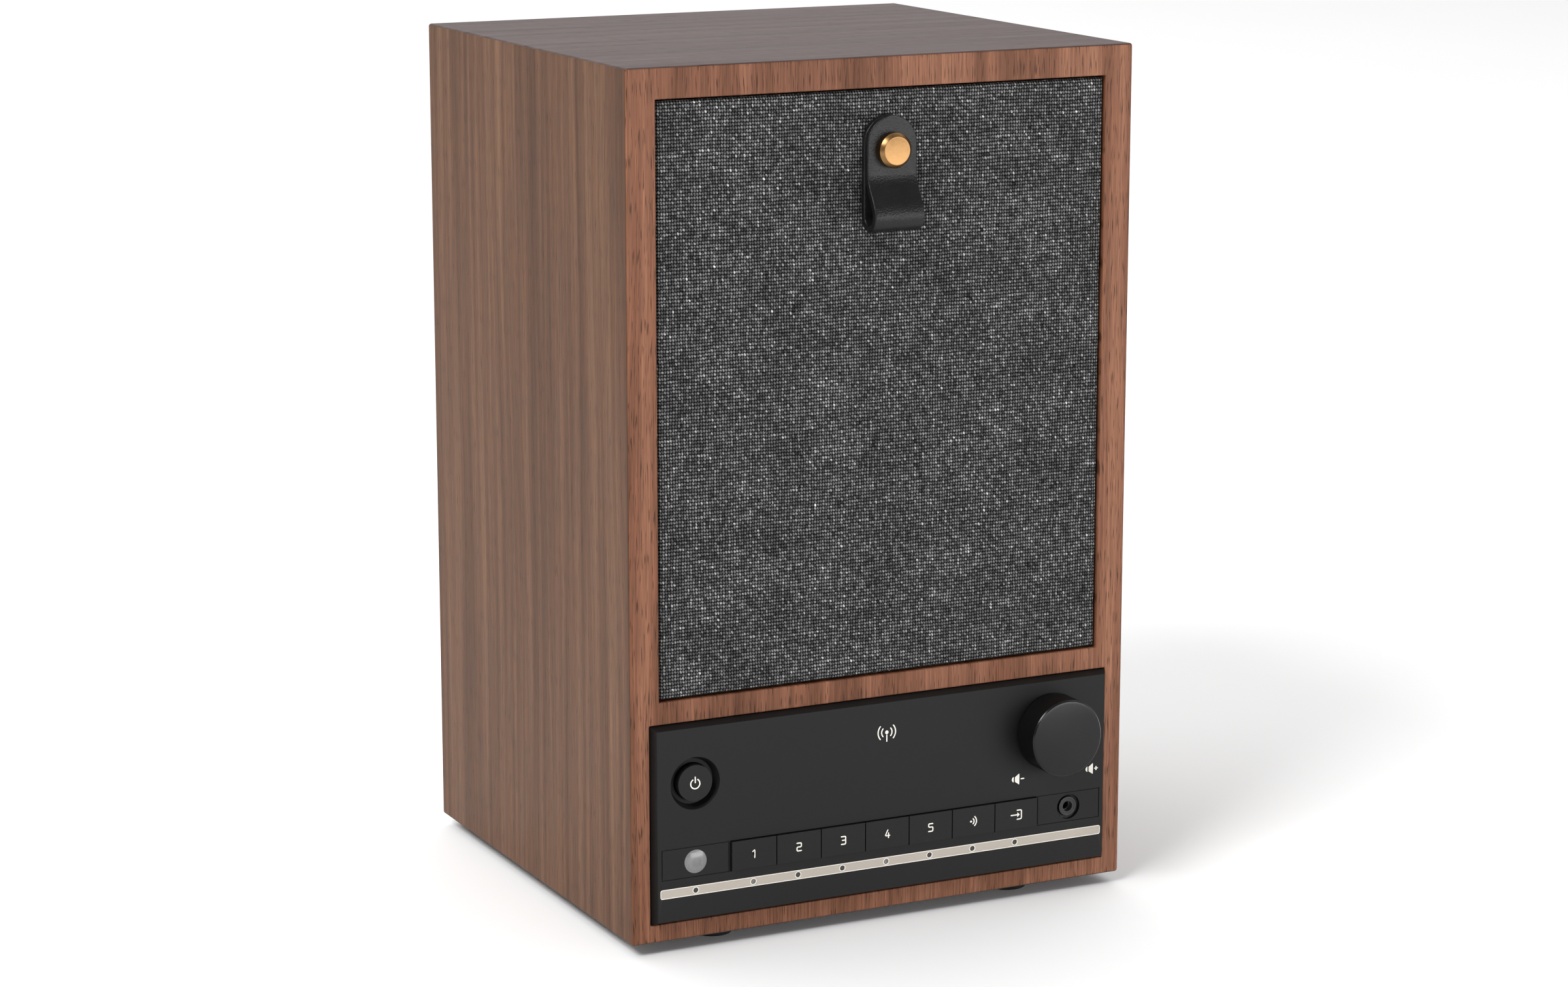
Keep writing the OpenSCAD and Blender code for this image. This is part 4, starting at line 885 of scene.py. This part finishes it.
STROKE = 0.40 * MM
DIGITS = {
    1: [[(0.10, 0.80), (0.36, 1.0), (0.36, 0.0)]],
    2: [[(0, 1), (0.6, 1), (0.6, 0.5), (0, 0.5), (0, 0), (0.6, 0)]],
    3: [[(0, 1), (0.6, 1), (0.6, 0), (0, 0)], [(0.14, 0.52), (0.54, 0.52)]],
    4: [[(0.36, 1), (0, 0.28), (0.62, 0.28)], [(0.46, 0.6), (0.46, 0)]],
    5: [[(0.58, 1), (0, 1), (0, 0.56), (0.6, 0.56), (0.6, 0), (0, 0)]],
}


def digit(number, x, z, height):
    outlines = []
    for line in DIGITS[number]:
        points = [(x + (px - 0.3) * height, z + (pz - 0.5) * height) for px, pz in line]
        outlines.append(ribbon_outline(corner_path(points, 0.16 * height), STROKE))
    return outlines


def legends():
    """Numerals on the preset keys, plain signs on the others, and the volume signs."""
    height = 2.6 * MM
    for i in range(1, 6):
        lo, _ = box(f"key_{i}")
        c = centre(f"key_{i}")
        prints(f"key_{i}_numeral", f"key_{i}", digit(i, c.x, c.z, height), lo.y)
    lo, _ = box("key_6")
    c = centre("key_6")
    waves_at = c.x - 1.0 * MM
    shapes = [ribbon_outline(arc(waves_at, c.z, r * MM, -48, 48), STROKE) for r in (1.15, 2.05)]
    shapes.append(arc(waves_at, c.z, 0.36 * MM, 0, 342, 19))
    prints("key_6_waves", "key_6", shapes, lo.y)
    lo, _ = box("key_7")
    c = centre("key_7")
    arrow = ribbon_outline([(c.x - 1.9 * MM, c.z), (c.x + 0.55 * MM, c.z)], STROKE)
    head = [(c.x + 0.45 * MM, c.z - 0.85 * MM), (c.x + 1.35 * MM, c.z), (c.x + 0.45 * MM, c.z + 0.85 * MM)]
    socket = ribbon_outline(corner_path([(c.x + 0.4 * MM, c.z + 1.55 * MM), (c.x + 2.0 * MM, c.z + 1.55 * MM),
                                         (c.x + 2.0 * MM, c.z - 1.55 * MM), (c.x + 0.4 * MM, c.z - 1.55 * MM)],
                                        0.5 * MM), STROKE)
    prints("key_7_line_in", "key_7", [arrow, head, socket], lo.y)

    lo, _ = box("power_button")
    c = centre("power_button")
    ring = ribbon_outline(arc(c.x, c.z - 0.2 * MM, 1.6 * MM, 122, 418, 30), 0.4 * MM)
    bar = ribbon_outline([(c.x, c.z + 0.2 * MM), (c.x, c.z + 2.0 * MM)], 0.4 * MM)
    prints("power_sign", "power_button", [ring, bar], lo.y)

    face = box("control_fascia")[0].y
    knob = centre("volume_knob")
    level = knob.z - 15.2 * MM
    for name, x, plus in (("quieter_sign", knob.x - 12.5 * MM, False), ("louder_sign", knob.x + 15.8 * MM, True)):
        prints(name, "cabinet", speaker_sign(x, level, plus), face)

    mast_x, mast_z = 0.0, knob.z + 7.0 * MM
    waves_out = [ribbon_outline(arc(mast_x, mast_z, r * MM, a - 42, a + 42), 0.4 * MM)
                 for r in (1.9, 3.2) for a in (0, 180)]
    dot = arc(mast_x, mast_z, 0.62 * MM, 0, 342, 19)
    mast = ribbon_outline([(mast_x, mast_z - 0.9 * MM), (mast_x, mast_z - 3.0 * MM)], 0.4 * MM)
    prints("broadcast_sign", "cabinet", waves_out + [dot, mast], face)


def speaker_sign(x, z, plus):
    """A small loudspeaker and a plus or minus, 5 mm across in all."""
    horn = [(x - 0.9 * MM, z - 0.75 * MM), (x + 0.62 * MM, z - 1.85 * MM), (x + 0.78 * MM, z - 1.7 * MM),
            (x + 0.78 * MM, z + 1.7 * MM), (x + 0.62 * MM, z + 1.85 * MM), (x - 0.9 * MM, z + 0.75 * MM)]
    coil = arc(x - 1.12 * MM, z, 0.95 * MM, 105, 255, 10)
    shapes = [horn, coil, ribbon_outline([(x + 1.45 * MM, z), (x + 2.5 * MM, z)], 0.42 * MM)]
    if plus:
        shapes.append(ribbon_outline([(x + 1.975 * MM, z - 0.53 * MM), (x + 1.975 * MM, z + 0.53 * MM)], 0.42 * MM))
    return shapes


def paint_strip_highlights():
    """A thin raised rim in print white round the indicator strip and round each of its light holes: a painted
    highlight along their edges.
    """
    lo, hi = box("indicator_strip")
    rim, r = 0.22 * MM, 0.7 * MM
    bm = bmesh.new()

    def outline(inset):
        out = []
        for cx, cz, start in ((hi.x - r, hi.z - r, 0), (lo.x + r, hi.z - r, 90), (lo.x + r, lo.z + r, 180),
                              (hi.x - r, lo.z + r, 270)):
            out += arc(cx, cz, r - inset, start, start + 90, 6)
        return out

    def frame_of(outer, inner, y0, y1):
        count = len(outer)
        rows = [[bm.verts.new((x, y, z)) for x, z in line]
                for line, y in ((outer, y1), (outer, y0), (inner, y0), (inner, y1))]
        for a in range(4):
            one, two = rows[a], rows[(a + 1) % 4]
            for i in range(count):
                j = (i + 1) % count
                bm.faces.new((one[i], one[j], two[j], two[i]))

    face = lo.y
    frame_of(outline(0.0), outline(rim), face - 0.06 * MM, face + 0.02 * MM)
    light_z = (lo.z + hi.z) / 2
    for x in [centre("ir_lens").x] + [centre(f"key_{i}").x for i in range(1, 8)]:
        frame_of(arc(x, light_z, 1.12 * MM, 0, 350, 35), arc(x, light_z, 0.9 * MM, 0, 350, 35),
                 face - 0.06 * MM, face + 0.02 * MM)
    # The white rim is a painted highlight on the strip's edge and on the edges of its holes.
    obj = from_bmesh("strip_painted_highlight", bm, [mats["print_white"]])
    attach(obj, "cabinet")


def jack_details():
    """Bright contacts inside both 3.5 mm sockets and a turned ring round each mouth."""
    bm_metal, bm_ring = bmesh.new(), bmesh.new()
    mouths = sorted(islands("jack_collars"), key=lambda b: b[0].y)
    for k, (lo, hi) in enumerate(mouths):
        c = (lo + hi) / 2
        mouth, way = (lo.y, 1) if k == 0 else (hi.y, -1)
        add_lathe(bm_metal, c.x, c.z, [(1.78 * MM, mouth + way * 2.2 * MM), (1.78 * MM, mouth + way * 3.6 * MM),
                                       (1.6 * MM, mouth + way * 3.6 * MM), (1.6 * MM, mouth + way * 2.2 * MM)], 48)
        spring = [(c.x - 1.7 * MM, c.z - 0.45 * MM), (c.x - 1.1 * MM, c.z - 0.45 * MM),
                  (c.x - 1.1 * MM, c.z + 0.45 * MM), (c.x - 1.7 * MM, c.z + 0.45 * MM)]
        deep = sorted((mouth + way * 1.2 * MM, mouth + way * 8 * MM))
        add_prism(bm_metal, spring, *deep)
        profile = [(2.62 * MM, mouth - way * 0.12 * MM), (3.25 * MM, mouth - way * 0.12 * MM),
                   (3.29 * MM, mouth + way * 0.3 * MM), (2.55 * MM, mouth + way * 0.3 * MM)]
        add_lathe(bm_ring, c.x, c.z, rounded(profile, 0.1 * MM), 64)
    contacts = from_bmesh("jack_contacts", bm_metal, [mats["steel"]], smooth=False)
    rings = from_bmesh("jack_rings", bm_ring, [mats["gloss_black"]], smooth=True)
    for obj, slot in ((contacts, "steel"), (rings, "panel_black")):
        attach(obj, "cabinet")


mats["gloss_black"] = speckled("gloss_black", grey(0.012), 0.16, 900.0, 0.000004, 0.1, Specular_IOR_Level=0.55)


# ---------------------------------------------------------------- rear

def screw_heads(name, source, material, front):
    """Pan heads with a cross recess in place of a node of plain screws along Y."""
    bm = bmesh.new()
    radius, height = 2.6 * MM, 1.5 * MM
    arm, slot_w, deep = 1.5 * MM, 0.42 * MM, 0.75 * MM
    for lo, hi in islands(source):
        c = (lo + hi) / 2
        way = 1 if front else -1
        top = lo.y if front else hi.y
        seat = top + way * height
        ring_at = [(radius, seat), (radius, top + way * 0.75 * MM), (radius * 0.93, top + way * 0.38 * MM),
                   (radius * 0.78, top + way * 0.12 * MM), (radius * 0.62, top + way * 0.02 * MM)]
        segments = 40
        rings = []
        for r, y in ring_at:
            rings.append([bm.verts.new((c.x + r * math.cos(math.tau * i / segments), y,
                                        c.z + r * math.sin(math.tau * i / segments))) for i in range(segments)])
        for a, b in zip(rings, rings[1:]):
            for i in range(segments):
                j = (i + 1) % segments
                bm.faces.new((a[i], a[j], b[j], b[i]))
        bm.faces.new(rings[0])
        cross = []
        for q in range(4):
            a = math.pi / 2 * q + math.pi / 5
            d, n = Vector((math.cos(a), math.sin(a))), Vector((-math.sin(a), math.cos(a)))
            cross += [d * arm - n * slot_w, d * arm + n * slot_w, d * slot_w + n * slot_w]
        rim = [bm.verts.new((c.x + p.x, top, c.z + p.y)) for p in cross]
        floor = [bm.verts.new((c.x + p.x * 0.72, top + way * deep, c.z + p.y * 0.72)) for p in cross]
        count = len(cross)
        for i in range(count):
            j = (i + 1) % count
            bm.faces.new((rim[i], rim[j], floor[j], floor[i]))
        bm.faces.new(floor)
        outer = rings[-1]
        edges = [bm.edges.get((outer[i], outer[(i + 1) % segments])) for i in range(segments)]
        edges += [bm.edges.get((rim[i], rim[(i + 1) % count])) for i in range(count)]
        bmesh.ops.triangle_fill(bm, use_beauty=True, edges=edges)
        shank_end = hi.y if front else lo.y
        add_lathe(bm, c.x, c.z, [(0, seat), (1.5 * MM, seat), (1.5 * MM, shank_end - way * 2 * MM),
                                 (0, shank_end)], 24)
    obj = from_bmesh(name, bm, [material])
    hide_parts(source)
    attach(obj, "cabinet")


def speaker_details():
    """Ribs on the woofer's cone."""
    lo, hi = box("woofer_cone")
    c = centre("woofer_cone")
    rim = (hi.x - lo.x) / 2
    bm = bmesh.new()
    for share in (0.88, 0.76, 0.64, 0.53):
        r = rim * share
        y = box("woofer_cone")[0].y + (rim - r) * 0.76 - 0.2 * MM
        add_lathe(bm, c.x, c.z, [(r - 0.5 * MM, y + 0.5 * MM), (r, y - 0.15 * MM), (r + 0.5 * MM, y),
                                 (r, y + 0.6 * MM)], 72)
    obj = from_bmesh("cone_ribs", bm, [mats["cone_paper"]], smooth=True)
    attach(obj, "speaker_cone")


# ---------------------------------------------------------------- the whole

cabinet_shell()
grille_cloth()
leather_tab()
stud()
volume_knob()
legends()
paint_strip_highlights()
jack_details()
screw_heads("rear_screws", "panel_screws", mats["dark_steel"], front=False)

soften("control_fascia", 0.16 * MM)
for i in range(1, 8):
    soften(f"key_{i}", 0.22 * MM)
for name, width in (("power_button", 0.3), ("mains_inlet", 0.4), ("antenna_yoke", 0.4),
                    ("antenna_base", 0.4), ("rear_panel", 0.4), ("feet", 0.5), ("grille_frame", 0.5),
                    ("bass_port", 0.35), ("baffle", 0.3), ("jack_collars", 0.15), ("transformer", 0.6)):
    soften(name, width * MM)


# ---------------------------------------------------------------- studio

def studio():
    floor_graph = Graph("studio_floor", Roughness=0.9, Specular_IOR_Level=0.1)
    clouds = floor_graph.noise(floor_graph.place(), 3.0, 2.0)
    floor_graph.colour(floor_graph.ramp(clouds, ((0.0, grey(0.90)), (1.0, grey(0.92)))))
    bm = bmesh.new()
    bmesh.ops.create_grid(bm, x_segments=4, y_segments=4, size=9.0)
    floor = from_bmesh("studio_floor", bm, [floor_graph.material])

    world = bpy.data.worlds.new("studio")
    bpy.context.scene.world = world
    world.use_nodes = True
    background = world.node_tree.nodes["Background"]
    background.inputs["Color"].default_value = (1.0, 1.0, 1.0, 1.0)
    links, made = world.node_tree.links, world.node_tree.nodes
    way = made.new("ShaderNodeSeparateXYZ")
    links.new(made.new("ShaderNodeTexCoord").outputs["Generated"], way.inputs[0])
    dimmer = made.new("ShaderNodeMapRange")
    for socket, value in zip(dimmer.inputs[1:5], (-0.5, 0.4, 0.20, 0.8)):
        socket.default_value = value
    links.new(way.outputs[1], dimmer.inputs[0])
    links.new(dimmer.outputs[0], background.inputs["Strength"])

    def area(name, place, aim, size, power, tint=(1.0, 1.0, 1.0)):
        data = bpy.data.lights.new(name, "AREA")
        data.shape = "RECTANGLE"
        data.size, data.size_y = size
        data.energy = power
        data.color = tint
        light = bpy.data.objects.new(name, data)
        bpy.context.scene.collection.objects.link(light)
        light.location = place
        light.rotation_mode = "QUATERNION"
        light.rotation_quaternion = (Vector(aim) - Vector(place)).to_track_quat("-Z", "Y")

    area("overhead", (0.2, 2.9, 2.6), (0.2, 2.9, 0.0), (6.0, 6.4), 110.0)
    area("left_key", (-1.6, -0.9, 1.9), (0, -0.45, 0.0), (0.9, 0.9), 46.0)
    area("front_softbox", (0.85, -1.75, 0.30), (0, 0, 0.16), (1.9, 0.55), 19.0)


def camera():
    """The photograph's view: to the left of the front and a little above."""
    data = bpy.data.cameras.new("view")
    data.sensor_width = 36.0
    data.lens = 89.85
    cam = bpy.data.objects.new("view", data)
    bpy.context.scene.collection.objects.link(cam)
    azimuth, elevation = math.radians(-26.27), math.radians(12.13)
    back = Vector((math.sin(azimuth) * math.cos(elevation), -math.cos(azimuth) * math.cos(elevation),
                   math.sin(elevation)))
    front = box("front_board")[0].y
    cam.location = (-0.5733, front - 1.0884, 0.4077)
    cam.rotation_mode = "QUATERNION"
    cam.rotation_quaternion = (-back).to_track_quat("-Z", "Y")
    data.clip_start, data.clip_end = 0.05, 40.0
    bpy.context.scene.camera = cam


studio()
camera()
scene = bpy.context.scene
scene.view_settings.view_transform = "Standard"
scene.view_settings.look = "None"

speaker_details()
